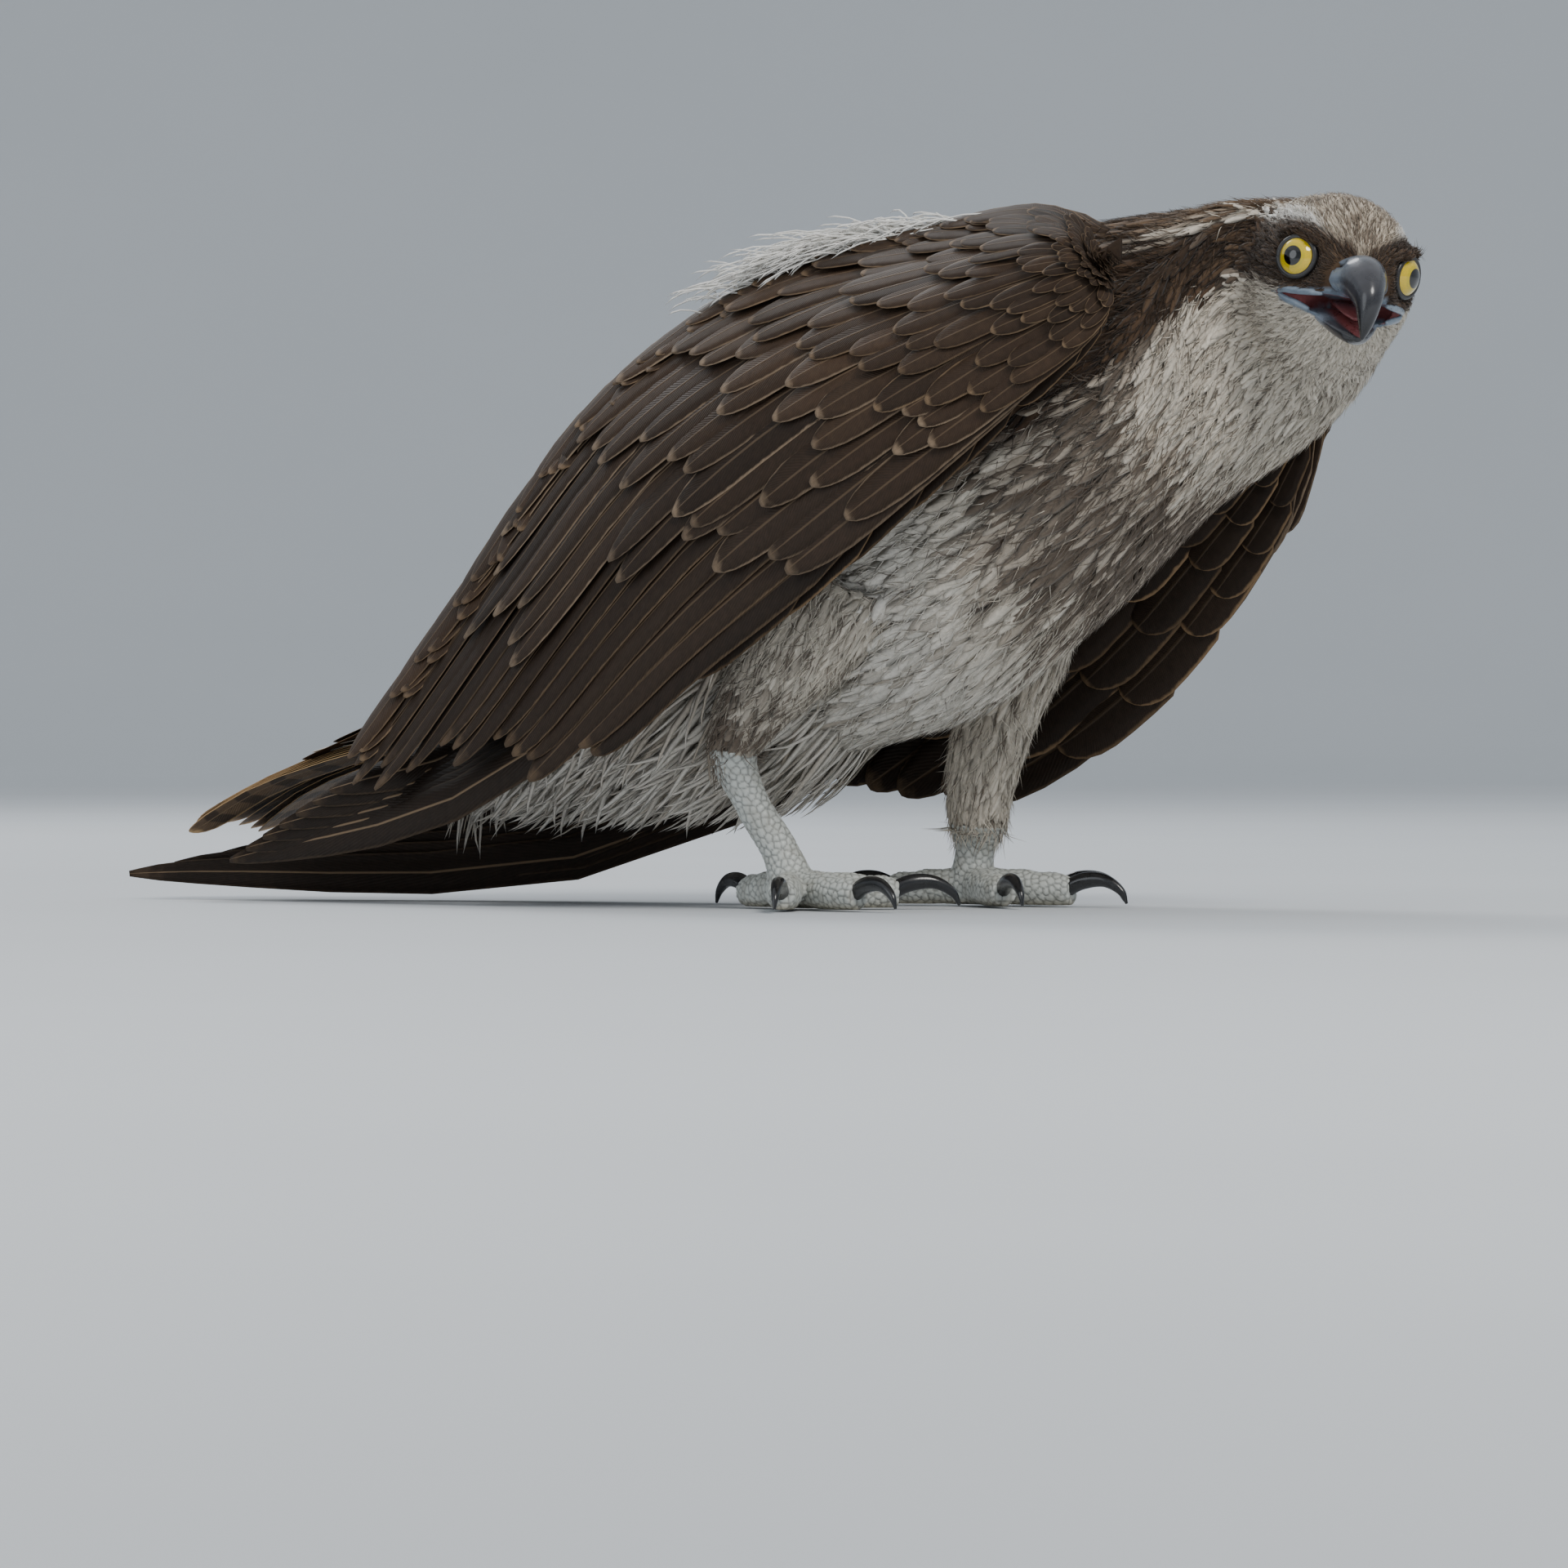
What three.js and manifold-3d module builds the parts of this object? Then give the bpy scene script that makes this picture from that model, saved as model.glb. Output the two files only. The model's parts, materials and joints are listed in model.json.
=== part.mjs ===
// A life-size osprey that leans forward over its feet, with its head turned to its right, its bill open
// and its wings drooped. Millimetres, +Z up. The bird faces -Y, so its left side is +X, and it stands on z = 0.
import * as THREE from 'three';
import { mergeVertices } from 'three/addons/utils/BufferGeometryUtils.js';
import Module from 'manifold-3d';

const wasm = await Module();
wasm.setup();

// Driving dimensions
const GAP = 0.3;                  // clearance between touching pieces
const HEAD_AT = [199, -13, 226];  // forward, left, up of the head's centre
const HEAD_YAW = -49;             // degrees, to the bird's right
const HEAD_PITCH = -3;
const HEAD_ROLL = -10;            // its left side is lower
const EYE_RADIUS = 8.6;
const EYE_AT = [11.5, 17, 4];     // forward, sideways, up from the head's centre
const EYE_AXIS = 46;              // degrees from straight ahead
const TOE_LENGTH = 41;
const TOE_RADIUS = 6.4;
const CLAW_LENGTH = 22;
const CLAW_RADIUS = 3.1;
const VANE_THICKNESS = 0.9;
const VANE_TIP_THICKNESS = 0.5;
const TAIL_VANES = 12;
const BODY_SIDES = 22;

const BROWN = { color: 0x3a2a20, roughness: 0.75, metalness: 0 };
const WHITE = { color: 0xd9d3c4, roughness: 0.9, metalness: 0 };
const HORN = { color: 0x23262b, roughness: 0.3, metalness: 0 };
const SCALES = { color: 0xa9b6b0, roughness: 0.7, metalness: 0 };
const IRIS = { color: 0xe0c400, roughness: 0.1, metalness: 0 };
const FLESH = { color: 0x8a4a4a, roughness: 0.5, metalness: 0 };

// A place on the bird, from how far forward, to its left and up it lies.
const at = (forward, left, up) => new THREE.Vector3(left, -forward, up);
const LEFT = at(0, 1, 0);
const UP = at(0, 0, 1);
const turn = (degrees) => THREE.MathUtils.degToRad(degrees);

// A seeded draw between low and high, the same on every run.
let seed = 7;
function draw(low, high) {
  seed = (seed * 16807) % 2147483647;
  return low + (high - low) * seed / 2147483647;
}

// Solids and meshes
function solid(positions, triangles) {
  const mesh = new wasm.Mesh({
    numProp: 3,
    vertProperties: new Float32Array(positions.flatMap((p) => [p.x, p.y, p.z])),
    triVerts: new Uint32Array(triangles.flat()),
  });
  const made = new wasm.Manifold(mesh);
  if (made.volume() > 0) return made;
  return solid(positions, triangles.map(([a, b, c]) => [a, c, b]));
}

function solidOfGeometry(geometry) {
  const bare = new THREE.BufferGeometry().setAttribute('position', geometry.getAttribute('position'));
  bare.setIndex(geometry.index);
  const merged = mergeVertices(bare, 1e-3);
  return new wasm.Manifold(new wasm.Mesh({
    numProp: 3,
    vertProperties: new Float32Array(merged.attributes.position.array),
    triVerts: new Uint32Array(merged.index.array),
  }));
}

const join = (solids) => wasm.Manifold.union(solids);
const largest = (made) => made.decompose().reduce((a, b) => (a.volume() > b.volume() ? a : b));

const bird = new THREE.Group();

function addNode(name, made, material) {
  const { vertProperties, triVerts } = largest(made).getMesh();
  const geometry = new THREE.BufferGeometry();
  geometry.setAttribute('position', new THREE.BufferAttribute(new Float32Array(vertProperties), 3));
  geometry.setIndex(new THREE.BufferAttribute(new Uint32Array(triVerts), 1));
  geometry.computeVertexNormals();
  const mesh = new THREE.Mesh(geometry, new THREE.MeshStandardMaterial(material));
  mesh.name = name;
  bird.add(mesh);
}

// Lofts: a key is a place with its half width, and its heights above and below the middle.
const key = (place, half, top, bottom = top, side = LEFT, up = null) => (
  { place, size: new THREE.Vector3(half, top, bottom), side, up }
);

// Rings between the keys, smoothly. A key with no up vector stands its ring square to the path.
function path(keys) {
  const centres = new THREE.CatmullRomCurve3(keys.map((k) => k.place));
  const sizes = new THREE.CatmullRomCurve3(keys.map((k) => k.size));
  const sides = new THREE.CatmullRomCurve3(keys.map((k) => k.side));
  const ups = keys[0].up ? new THREE.CatmullRomCurve3(keys.map((k) => k.up)) : null;
  return (t) => {
    const side = sides.getPoint(t).normalize();
    const up = ups ? ups.getPoint(t) : centres.getTangent(t).cross(side);
    return { centre: centres.getPoint(t), size: sizes.getPoint(t), side, up: up.normalize() };
  };
}

function loft(ringAt, { from = 0, to = 1, steps = 8, sides = 12, grow = 0 }) {
  const positions = [];
  const triangles = [];
  for (let i = 0; i <= steps; i += 1) {
    const ring = ringAt(from + (to - from) * i / steps);
    for (let j = 0; j < sides; j += 1) {
      const angle = 2 * Math.PI * (j + 0.5) / sides;
      const across = Math.cos(angle) * (ring.size.x + grow);
      const high = Math.sin(angle) * ((Math.sin(angle) > 0 ? ring.size.y : ring.size.z) + grow);
      positions.push(ring.centre.clone().addScaledVector(ring.side, across).addScaledVector(ring.up, high));
    }
  }
  for (let i = 0; i < steps; i += 1) {
    for (let j = 0; j < sides; j += 1) {
      const a = i * sides + j;
      const b = i * sides + (j + 1) % sides;
      triangles.push([a, b, b + sides], [a, b + sides, a + sides]);
    }
  }
  const last = steps * sides;
  for (let j = 1; j < sides - 1; j += 1) {
    triangles.push([0, j + 1, j], [last, last + j, last + j + 1]);
  }
  return solid(positions, triangles);
}

// Vanes: a feather is a thin strip whose two faces are split into triangles alike.
const BENT_VANE = [[0, 0.7], [0.45, 1], [0.85, 0.85], [1, 0.3]];
const LONG_BENT_VANE = [[0, 0.7], [0.3, 1], [0.6, 1], [0.88, 0.85], [1, 0.3]];
const STRAIGHT_VANE = [[0, 0.55], [0.5, 1], [0.9, 0.85], [1, 0.3]];

function vane(sectionAt, shape) {
  const positions = [];
  const triangles = [];
  for (const [t, width] of shape) {
    const { centre, side, normal, half } = sectionAt(t);
    const thick = THREE.MathUtils.lerp(VANE_THICKNESS, VANE_TIP_THICKNESS, t);
    for (const [across, high] of [[-1, 0], [1, 0], [1, -1], [-1, -1]]) {
      positions.push(centre.clone()
        .addScaledVector(side, across * half * width)
        .addScaledVector(normal, high * thick));
    }
  }
  const last = 4 * (shape.length - 1);
  for (let i = 0; i < last; i += 4) {
    triangles.push([i, i + 1, i + 5], [i, i + 5, i + 4]);
    triangles.push([i + 3, i + 6, i + 2], [i + 3, i + 7, i + 6]);
    triangles.push([i + 1, i + 2, i + 6], [i + 1, i + 6, i + 5]);
    triangles.push([i, i + 7, i + 3], [i, i + 4, i + 7]);
  }
  triangles.push([0, 3, 2], [0, 2, 1], [last, last + 1, last + 2], [last, last + 2, last + 3]);
  return solid(positions, triangles);
}

// A vane along a smooth line, its flat side towards facing and one edge higher by the tilt.
function vaneAlong(points, facing, half, tilt = 0) {
  const line = new THREE.CatmullRomCurve3(points);
  return vane((t) => {
    const along = line.getTangent(t);
    const side = along.clone().cross(facing).normalize();
    const normal = side.clone().cross(along).normalize();
    return { centre: line.getPoint(t), half, ...tilted(side, normal, tilt) };
  }, STRAIGHT_VANE);
}

function tilted(side, normal, tilt) {
  return {
    side: side.clone().addScaledVector(normal, tilt).normalize(),
    normal: normal.clone().addScaledVector(side, -tilt).normalize(),
  };
}

// Head frame
const yaw = turn(HEAD_YAW);
const pitch = turn(HEAD_PITCH);
const headForward = at(Math.cos(yaw) * Math.cos(pitch), Math.sin(yaw) * Math.cos(pitch), Math.sin(pitch));
const levelLeft = at(-Math.sin(yaw), Math.cos(yaw), 0);
const headLeft = levelLeft.clone().applyAxisAngle(headForward, turn(HEAD_ROLL));
const headUp = headForward.clone().cross(headLeft);
const inHead = (forward, left, up) => at(...HEAD_AT)
  .addScaledVector(headForward, forward)
  .addScaledVector(headLeft, left)
  .addScaledVector(headUp, up);

// Trunk, neck and head are one run of rings, so that they meet without a step.
const trunkKey = (forward, left, top, bottom, half, side = LEFT) => (
  key(at(forward, left, (top + bottom) / 2), half, (top - bottom) / 2, (top - bottom) / 2, side, UP)
);
const headKey = (forward, up, half, top, bottom) => (
  key(inHead(forward, 0, up), half, top, bottom, headLeft, headUp)
);
const neckSide = LEFT.clone().lerp(headLeft, 0.4).normalize();
const TRUNK_KEYS = [
  trunkKey(-168, 0, 96, 50, 25),
  trunkKey(-132, 0, 146, 46, 42),
  trunkKey(-85, 0, 192, 46, 50),
  trunkKey(-32, 0, 223, 50, 59),
  trunkKey(39, 0, 242, 68, 63),
  trunkKey(90, 0, 249, 102, 61),
  trunkKey(128, 0, 253, 136, 56),
  trunkKey(156, 2, 256, 160, 47, neckSide),
];
const HEAD_KEYS = [
  headKey(-22, 0, 32, 29.5, 44),
  headKey(-8, 0, 30, 30.5, 36),
  headKey(5, 0, 27, 28.5, 30),
  headKey(15, 0, 22.5, 23.5, 25),
  headKey(23, -1, 17, 15.5, 19),
  headKey(29, -3, 11.5, 9, 11),
];
const bodyKeys = [...TRUNK_KEYS, ...HEAD_KEYS];
const body = path(bodyKeys);
const lastKey = bodyKeys.length - 1;
const NECK_FROM = 6 / lastKey;
const HEAD_FROM = 8 / lastKey;
const CUT = 2 * GAP;   // the rings turn with the neck, so their rims come closer than their middles
const shareOfCut = (t) => CUT * 0.001 / body(t).centre.distanceTo(body(t + 0.001).centre);

const TORSO = { from: 0, to: NECK_FROM, steps: 12, sides: BODY_SIDES };
const NECK = { from: NECK_FROM + shareOfCut(NECK_FROM), to: HEAD_FROM, steps: 5, sides: BODY_SIDES };
const HEAD = { from: HEAD_FROM + shareOfCut(HEAD_FROM), to: 1, steps: 8, sides: BODY_SIDES };
const torso = loft(body, TORSO);
const roomForBody = join([
  loft(body, { ...TORSO, grow: GAP * 1.5 }),
  loft(body, { ...NECK, from: NECK_FROM - 0.001, grow: GAP * 1.5 }),
  loft(body, { ...HEAD, from: HEAD_FROM - 0.001, grow: GAP * 1.5 }),
]);

// Bill, eyes and mouth
const billKey = (forward, up, half, top, bottom) => key(inHead(forward, 0, up), half, top, bottom, headLeft);
const upperBill = path([
  billKey(21.5, -3, 12.5, 8.5, 5),
  billKey(27, -2, 11.2, 9.5, 5.5),
  billKey(34, -1.5, 8.8, 9.5, 6.5),
  billKey(41, -4, 6.8, 8.5, 6.5),
  billKey(46, -8, 5, 6.5, 6),
  billKey(48, -13.5, 3.4, 4, 4),
  billKey(48, -18, 2, 2.3, 2.3),
  billKey(47, -21.5, 0.6, 0.7, 0.7),
]);
const lowerBill = path([
  billKey(14, -13.5, 13.5, 1.8, 2.5),
  billKey(22, -16, 11, 2, 4),
  billKey(30, -18.5, 8, 2, 4.2),
  billKey(36.5, -20.5, 4.8, 1.8, 3.2),
  billKey(40.5, -21.3, 1.6, 0.9, 1.3),
]);
const tongue = path([
  billKey(9, -9, 5, 1.5, 1.5),
  billKey(19, -10.4, 5, 1.4, 1.4),
  billKey(28, -13, 3.6, 1.1, 1.1),
  billKey(33, -14.6, 1.2, 0.6, 0.6),
]);
const mouth = path([
  billKey(8, -9.4, 6, 0.8, 0.8),
  billKey(15, -10, 21, 1.5, 1.8),
  billKey(24, -11.5, 24, 3.5, 3.5),
  billKey(40, -14, 26, 6, 6),
]);
const UPPER_BILL = { steps: 12, sides: 10 };
const LOWER_BILL = { steps: 6, sides: 10 };

function eyeFrame(side) {
  const angle = turn(EYE_AXIS);
  const place = inHead(EYE_AT[0], side * EYE_AT[1], EYE_AT[2]);
  const axis = headForward.clone().multiplyScalar(Math.cos(angle))
    .addScaledVector(headLeft, side * Math.sin(angle));
  return { place, axis };
}

function ball(place, radius) {
  return solidOfGeometry(new THREE.SphereGeometry(radius, 16, 8).translate(place.x, place.y, place.z));
}

// The ring of lid skin round an eye.
function lid(side) {
  const { place, axis } = eyeFrame(side);
  const ring = new THREE.TorusGeometry(EYE_RADIUS * 0.88, 1.7, 5, 14);
  ring.applyQuaternion(new THREE.Quaternion().setFromUnitVectors(new THREE.Vector3(0, 0, 1), axis));
  const out = place.clone().addScaledVector(axis, EYE_RADIUS * 0.5);
  return solidOfGeometry(ring.translate(out.x, out.y, out.z));
}

// The bony ridge that shades an eye.
function brow(side) {
  const ridge = path([
    key(inHead(24, side * 10, 9), 1.4, 1.4, 1.4, headUp),
    key(inHead(17, side * 18, 12.8), 2.6, 2.6, 2.6, headUp),
    key(inHead(7, side * 23.5, 13.2), 2.4, 2.6, 2.6, headUp),
    key(inHead(-4, side * 26, 10), 1.4, 1.6, 1.6, headUp),
  ]);
  return loft(ridge, { steps: 5, sides: 6 });
}

function nostril(side) {
  const slit = path([
    key(inHead(27, side * 10.5, 2.5), 0.9, 0.9, 0.9, headUp),
    key(inHead(29.5, side * 9, 3.6), 1.3, 1.3, 1.3, headUp),
    key(inHead(32, side * 8, 4.2), 0.9, 0.9, 0.9, headUp),
  ]);
  return loft(slit, { steps: 3, sides: 6 });
}

const eyes = { right: eyeFrame(-1), left: eyeFrame(1) };
const head = join([loft(body, HEAD), lid(-1), lid(1), brow(-1), brow(1)])
  .subtract(loft(mouth, { steps: 5, sides: 14 }))
  .subtract(loft(upperBill, { ...UPPER_BILL, grow: GAP }))
  .subtract(loft(lowerBill, { ...LOWER_BILL, grow: GAP }))
  .subtract(loft(tongue, { steps: 5, sides: 8, grow: GAP }))
  .subtract(ball(eyes.right.place, EYE_RADIUS + GAP))
  .subtract(ball(eyes.left.place, EYE_RADIUS + GAP));

addNode('torso', torso, WHITE);
addNode('neck', loft(body, NECK), WHITE);
addNode('head', head, WHITE);
addNode('bill_upper', loft(upperBill, UPPER_BILL).subtract(nostril(-1)).subtract(nostril(1)), HORN);
addNode('bill_lower', loft(lowerBill, LOWER_BILL), HORN);
addNode('tongue', loft(tongue, { steps: 5, sides: 8 }), FLESH);
addNode('eye_right', ball(eyes.right.place, EYE_RADIUS), IRIS);
addNode('eye_left', ball(eyes.left.place, EYE_RADIUS), IRIS);

// Legs
const legKey = (forward, left, up, half, front = half, back = front) => (
  key(at(forward, left, up), half, front, back)
);
// Each leg is one run of rings from hip to sole, parted at the ankle and above the toes.
const LEGS = {
  right: {
    keys: [
      legKey(14, -48, 124, 20, 27),
      legKey(0, -51, 98, 18, 22),
      legKey(-20, -48, 76, 13.5, 15),
      legKey(-31, -46, 57, 9.2, 9.8),
      legKey(-24, -44.5, 38, 6.9, 7.2),
      legKey(-13, -42.5, 20, 7.2, 7.6),
      legKey(-9, -42, 8, 9, 9.5),
      legKey(-9, -42, -2, 8, 8),
    ],
    ankleKey: 3,
    footKey: 5,
    foot: at(-9, -42, 0),
    heading: -28,
    toes: [[-38, 0.88], [4, 1], [62, 0.95], [178, 0.8]],
  },
  left: {
    keys: [
      legKey(36, 46, 128, 22, 30),
      legKey(34, 47, 98, 20, 24),
      legKey(28, 46, 72, 16, 17),
      legKey(23, 44, 48, 13.5, 14),
      legKey(21.5, 43, 29, 11, 11.5),
      legKey(20.5, 42.5, 19, 7.6, 8),
      legKey(20, 42, 8, 9, 9.5),
      legKey(20, 42, -2, 8, 8),
    ],
    ankleKey: 4,
    footKey: 5,
    foot: at(20, 42, 0),
    heading: 6,
    toes: [[38, 0.88], [-4, 1], [-50, 0.95], [184, 0.8]],
  },
};

const toeDirection = (leg, angle) => {
  const total = turn(leg.heading + angle);
  return at(Math.cos(total), Math.sin(total), 0);
};

function toePath(leg, angle, scale) {
  const along = toeDirection(leg, angle);
  const across = UP.clone().cross(along);
  const length = TOE_LENGTH * scale;
  const spot = (share, up) => leg.foot.clone().addScaledVector(along, share * length).setZ(up);
  const r = TOE_RADIUS;
  return path([
    key(spot(0.02, r * 1.15), r * 1.1, r * 1.1, r * 1.2, across),
    key(spot(0.36, r * 1.08), r * 0.95, r, r, across),
    key(spot(0.7, r * 0.93), r * 1.02, r, r * 1.02, across),
    key(spot(1, r * 0.88), r * 0.74, r * 0.7, r * 0.8, across),
  ]);
}

function clawPath(leg, angle, scale) {
  const along = toeDirection(leg, angle);
  const across = UP.clone().cross(along);
  const start = TOE_LENGTH * scale;
  const spot = (share, up) => leg.foot.clone().addScaledVector(along, start + share * CLAW_LENGTH).setZ(up);
  const r = CLAW_RADIUS;
  return path([
    key(spot(-0.16, 5.6), r * 0.9, r, r, across),
    key(spot(0.2, 9.2), r * 0.92, r, r, across),
    key(spot(0.62, 9.4), r * 0.72, r * 0.78, r * 0.78, across),
    key(spot(0.92, 5.4), r * 0.45, r * 0.5, r * 0.5, across),
    key(spot(1.02, 1.1), r * 0.16, r * 0.16, r * 0.16, across),
  ]);
}

const CLAW = { steps: 6, sides: 6 };
const belowFloor = solidOfGeometry(new THREE.BoxGeometry(900, 900, 40).translate(0, 0, -20));
const legRoom = [];
const LEG_CUT = 0.03;   // the gap between two pieces of a leg, as a share of the way between two keys

for (const [side, leg] of Object.entries(LEGS)) {
  const limb = path(leg.keys);
  const lastLegKey = leg.keys.length - 1;
  const ankle = leg.ankleKey / lastLegKey;
  const instep = leg.footKey / lastLegKey;
  const legCut = LEG_CUT / lastLegKey;
  const thigh = { from: 0, to: ankle, steps: 7, sides: 16 };
  const claws = leg.toes.map(([angle, scale]) => clawPath(leg, angle, scale));
  let foot = join([
    loft(limb, { from: instep + legCut, to: 1, steps: 3, sides: 10 }),
    ...leg.toes.map(([angle, scale]) => loft(toePath(leg, angle, scale), { steps: 3, sides: 8 })),
  ]).subtract(belowFloor);
  for (const claw of claws) foot = foot.subtract(loft(claw, { ...CLAW, grow: GAP }));
  addNode(`thigh_${side}`, loft(limb, thigh).subtract(roomForBody), WHITE);
  addNode(`tarsus_${side}`, loft(limb, { from: ankle + legCut, to: instep, steps: 4, sides: 12 }), SCALES);
  addNode(`foot_${side}`, foot, SCALES);
  claws.forEach((claw, i) => addNode(`claw_${side}_${i + 1}`, loft(claw, CLAW), HORN));
  legRoom.push(loft(limb, { ...thigh, grow: GAP * 1.5 }));
}

// Tail: a short root on the rump's end face, with overlapping vanes in a closed fan.
const TAIL_ROOT_AT = -168;
const TAIL_TIP_AT = -291;
const TAIL_TIP_UP = 32;
const TAIL_SPREAD = 4.4;   // sideways, from one vane's tip to the next
const tailRoot = path([
  key(at(TAIL_ROOT_AT - GAP, 0, 73), 25, 22.5, 22.5, LEFT, UP),
  key(at(-186, 0, 68), 22, 12, 12, LEFT, UP),
  key(at(-206, 0, 61), 20, 4, 4, LEFT, UP),
]);

function tailVane(i) {
  const fromMiddle = i - (TAIL_VANES - 1) / 2;
  const drop = Math.abs(fromMiddle) * 1.2;
  const back = Math.abs(fromMiddle) * 1.6 + draw(-1, 1);
  const spread = fromMiddle * TAIL_SPREAD;
  const place = (forward, up, share) => at(forward, spread * share, up - drop);
  return vaneAlong([
    place(-178, 70, 0.45),
    place(-215, 61.5, 0.62),
    place(-253, 49, 0.82),
    place(TAIL_TIP_AT + back, TAIL_TIP_UP, 1),
  ], UP, 8.5, Math.sign(fromMiddle) * 0.08);
}

function tailCovert(i, count, above) {
  const fromMiddle = i - (count - 1) / 2;
  const spread = fromMiddle * 11;
  const lift = above ? 1.8 : -1.8;
  const bend = Math.abs(fromMiddle) * (above ? -1.1 : 1.1);
  return vaneAlong([
    at(-174, spread * 0.7, 72 + (above ? 13 : -15) + bend),
    at(-196, spread * 0.9, 66 + (above ? 4.5 : -6) + bend + lift),
    at(-222 - draw(0, 8), spread, 58 + lift * 1.5 + bend),
  ], UP, 8.5);
}

const tailPieces = [loft(tailRoot, { steps: 3, sides: 12 })];
for (let i = 0; i < TAIL_VANES; i += 1) tailPieces.push(tailVane(i));
for (let i = 0; i < 4; i += 1) tailPieces.push(tailCovert(i, 4, true), tailCovert(i, 4, false));
const roomForTail = loft(path([
  key(at(TAIL_ROOT_AT, 0, 73), 27, 25, 25, LEFT, UP),
  key(at(-200, 0, 63), 27, 11, 11, LEFT, UP),
  key(at(-248, 0, 48), 32, 5.5, 5.5, LEFT, UP),
  key(at(TAIL_TIP_AT - 4, 0, 27), 36, 5.5, 5.5, LEFT, UP),
]), { steps: 8, sides: 12 });
addNode('tail', join(tailPieces).subtract(roomForBody), BROWN);

// Wings: each is a curved sheet between its upper edge along the back and its lower edge,
// with vanes in tiers set on the sheet and a core of flesh and small feathers under their roots.
const WINGS = {
  right: {
    outward: at(0, -1, 0.35).normalize(),
    bulge: 20,
    upper: [
      at(140, -74, 228), at(116, -62, 247), at(41, -32, 245), at(-31, -27, 229),
      at(-98, -27, 189), at(-155, -32, 117), at(-212, -40, 42),
    ],
    lower: [
      at(145, -80, 230), at(145, -90, 210), at(111, -97, 180), at(70, -101, 147),
      at(24, -99, 114), at(-20, -93, 87), at(-65, -83, 56),
    ],
    primaries: {
      count: 5,
      middle: [at(-128, -60, 46), at(-128, -44, 66)],
      tip: [at(-268, -20, 15), at(-210, -40, 42)],
    },
  },
  left: {
    outward: at(0, 1, 0.2).normalize(),
    bulge: 20,
    upper: [
      at(138, 70, 226), at(114, 62, 245), at(41, 32, 245), at(-31, 27, 229),
      at(-98, 27, 189), at(-155, 33, 117), at(-212, 42, 48),
    ],
    lower: [
      at(141, 78, 218), at(142, 92, 188), at(124, 103, 151), at(101, 110, 121),
      at(70, 109, 84), at(38, 99, 56), at(0, 86, 36),
    ],
    primaries: {
      count: 6,
      middle: [at(-128, 46, 22), at(-128, 46, 50)],
      tip: [at(-322, -8, 9), at(-206, 38, 34)],
    },
  },
};

// The sheet's point at u along the wing, from the wrist back, and v across it, from the upper edge down.
function wingSheet({ upper, lower, outward, bulge }) {
  const high = new THREE.CatmullRomCurve3(upper);
  const low = new THREE.CatmullRomCurve3(lower);
  const inside = (u, v) => {
    const swell = bulge * Math.sin(Math.PI * v) * Math.sin(Math.PI * Math.min(0.9, u * 0.8 + 0.12));
    return high.getPoint(u).lerp(low.getPoint(u), v).addScaledVector(outward, swell);
  };
  const point = (u, v) => {
    if (u <= 1) return inside(Math.max(0, u), v);
    const end = inside(1, v);
    return end.clone().addScaledVector(end.sub(inside(0.96, v)), (u - 1) / 0.04);
  };
  const frame = (u, v) => {
    const along = point(u + 0.01, v).sub(point(u - 0.01, v)).normalize();
    const down = point(u, v + 0.02).sub(point(u, v - 0.02)).normalize();
    const normal = along.clone().cross(down).normalize();
    if (normal.dot(outward) < 0) normal.negate();
    return { centre: point(u, v), side: down.addScaledVector(along, -down.dot(along)).normalize(), normal };
  };
  return frame;
}

// Flesh and small feathers under the vanes: thick by the back, thin at the lower edge and to the rear.
const CORE_ACROSS = 4;
const CORE_ALONG = 5;
const CORE_INSET = 0.02;         // shares of the sheet that the core leaves free, and fills
const CORE_LENGTH = 0.8;
const CORE_WIDTH = 0.95;
const CORE_UNDER_SHEET = 2.2;    // how far its outer face lies under the sheet
const CORE_INNER_UNDER_SHEET = 3;
const CORE_LEAST_DEPTH = 3;
const CORE_BACK_DEPTH = 19;      // added by the back

function coreDepth(share, v) {
  const thinToRear = 1 - 0.85 * share ** 3;
  const thinInFront = Math.min(1, 0.35 + share * CORE_ALONG / 3);
  return (CORE_LEAST_DEPTH + CORE_BACK_DEPTH * (1 - v) ** 0.8) * thinToRear * thinInFront;
}

function wingCore(frame) {
  const across = CORE_ACROSS;
  const along = CORE_ALONG;
  const positions = [];
  const triangles = [];
  for (const face of [0, 1]) {
    for (let i = 0; i <= along; i += 1) {
      for (let j = 0; j <= across; j += 1) {
        const u = CORE_INSET + CORE_LENGTH * i / along;
        const v = CORE_INSET + CORE_WIDTH * j / across;
        const { centre, normal } = frame(u, v);
        const inner = -coreDepth(i / along, v) - CORE_INNER_UNDER_SHEET;
        positions.push(centre.addScaledVector(normal, face ? inner : -CORE_UNDER_SHEET));
      }
    }
  }
  const row = across + 1;
  const layer = row * (along + 1);
  for (let i = 0; i < along; i += 1) {
    for (let j = 0; j < across; j += 1) {
      const a = i * row + j;
      triangles.push([a, a + 1, a + row + 1], [a, a + row + 1, a + row]);
      const b = a + layer;
      triangles.push([b, b + row + 1, b + 1], [b, b + row, b + row + 1]);
    }
  }
  const wall = (a, b) => triangles.push([a, a + layer, b + layer], [a, b + layer, b]);
  for (let j = 0; j < across; j += 1) {
    wall(j, j + 1);
    wall(along * row + j + 1, along * row + j);
  }
  for (let i = 0; i < along; i += 1) {
    wall((i + 1) * row, i * row);
    wall(i * row + across, (i + 1) * row + across);
  }
  return solid(positions, triangles);
}

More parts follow.
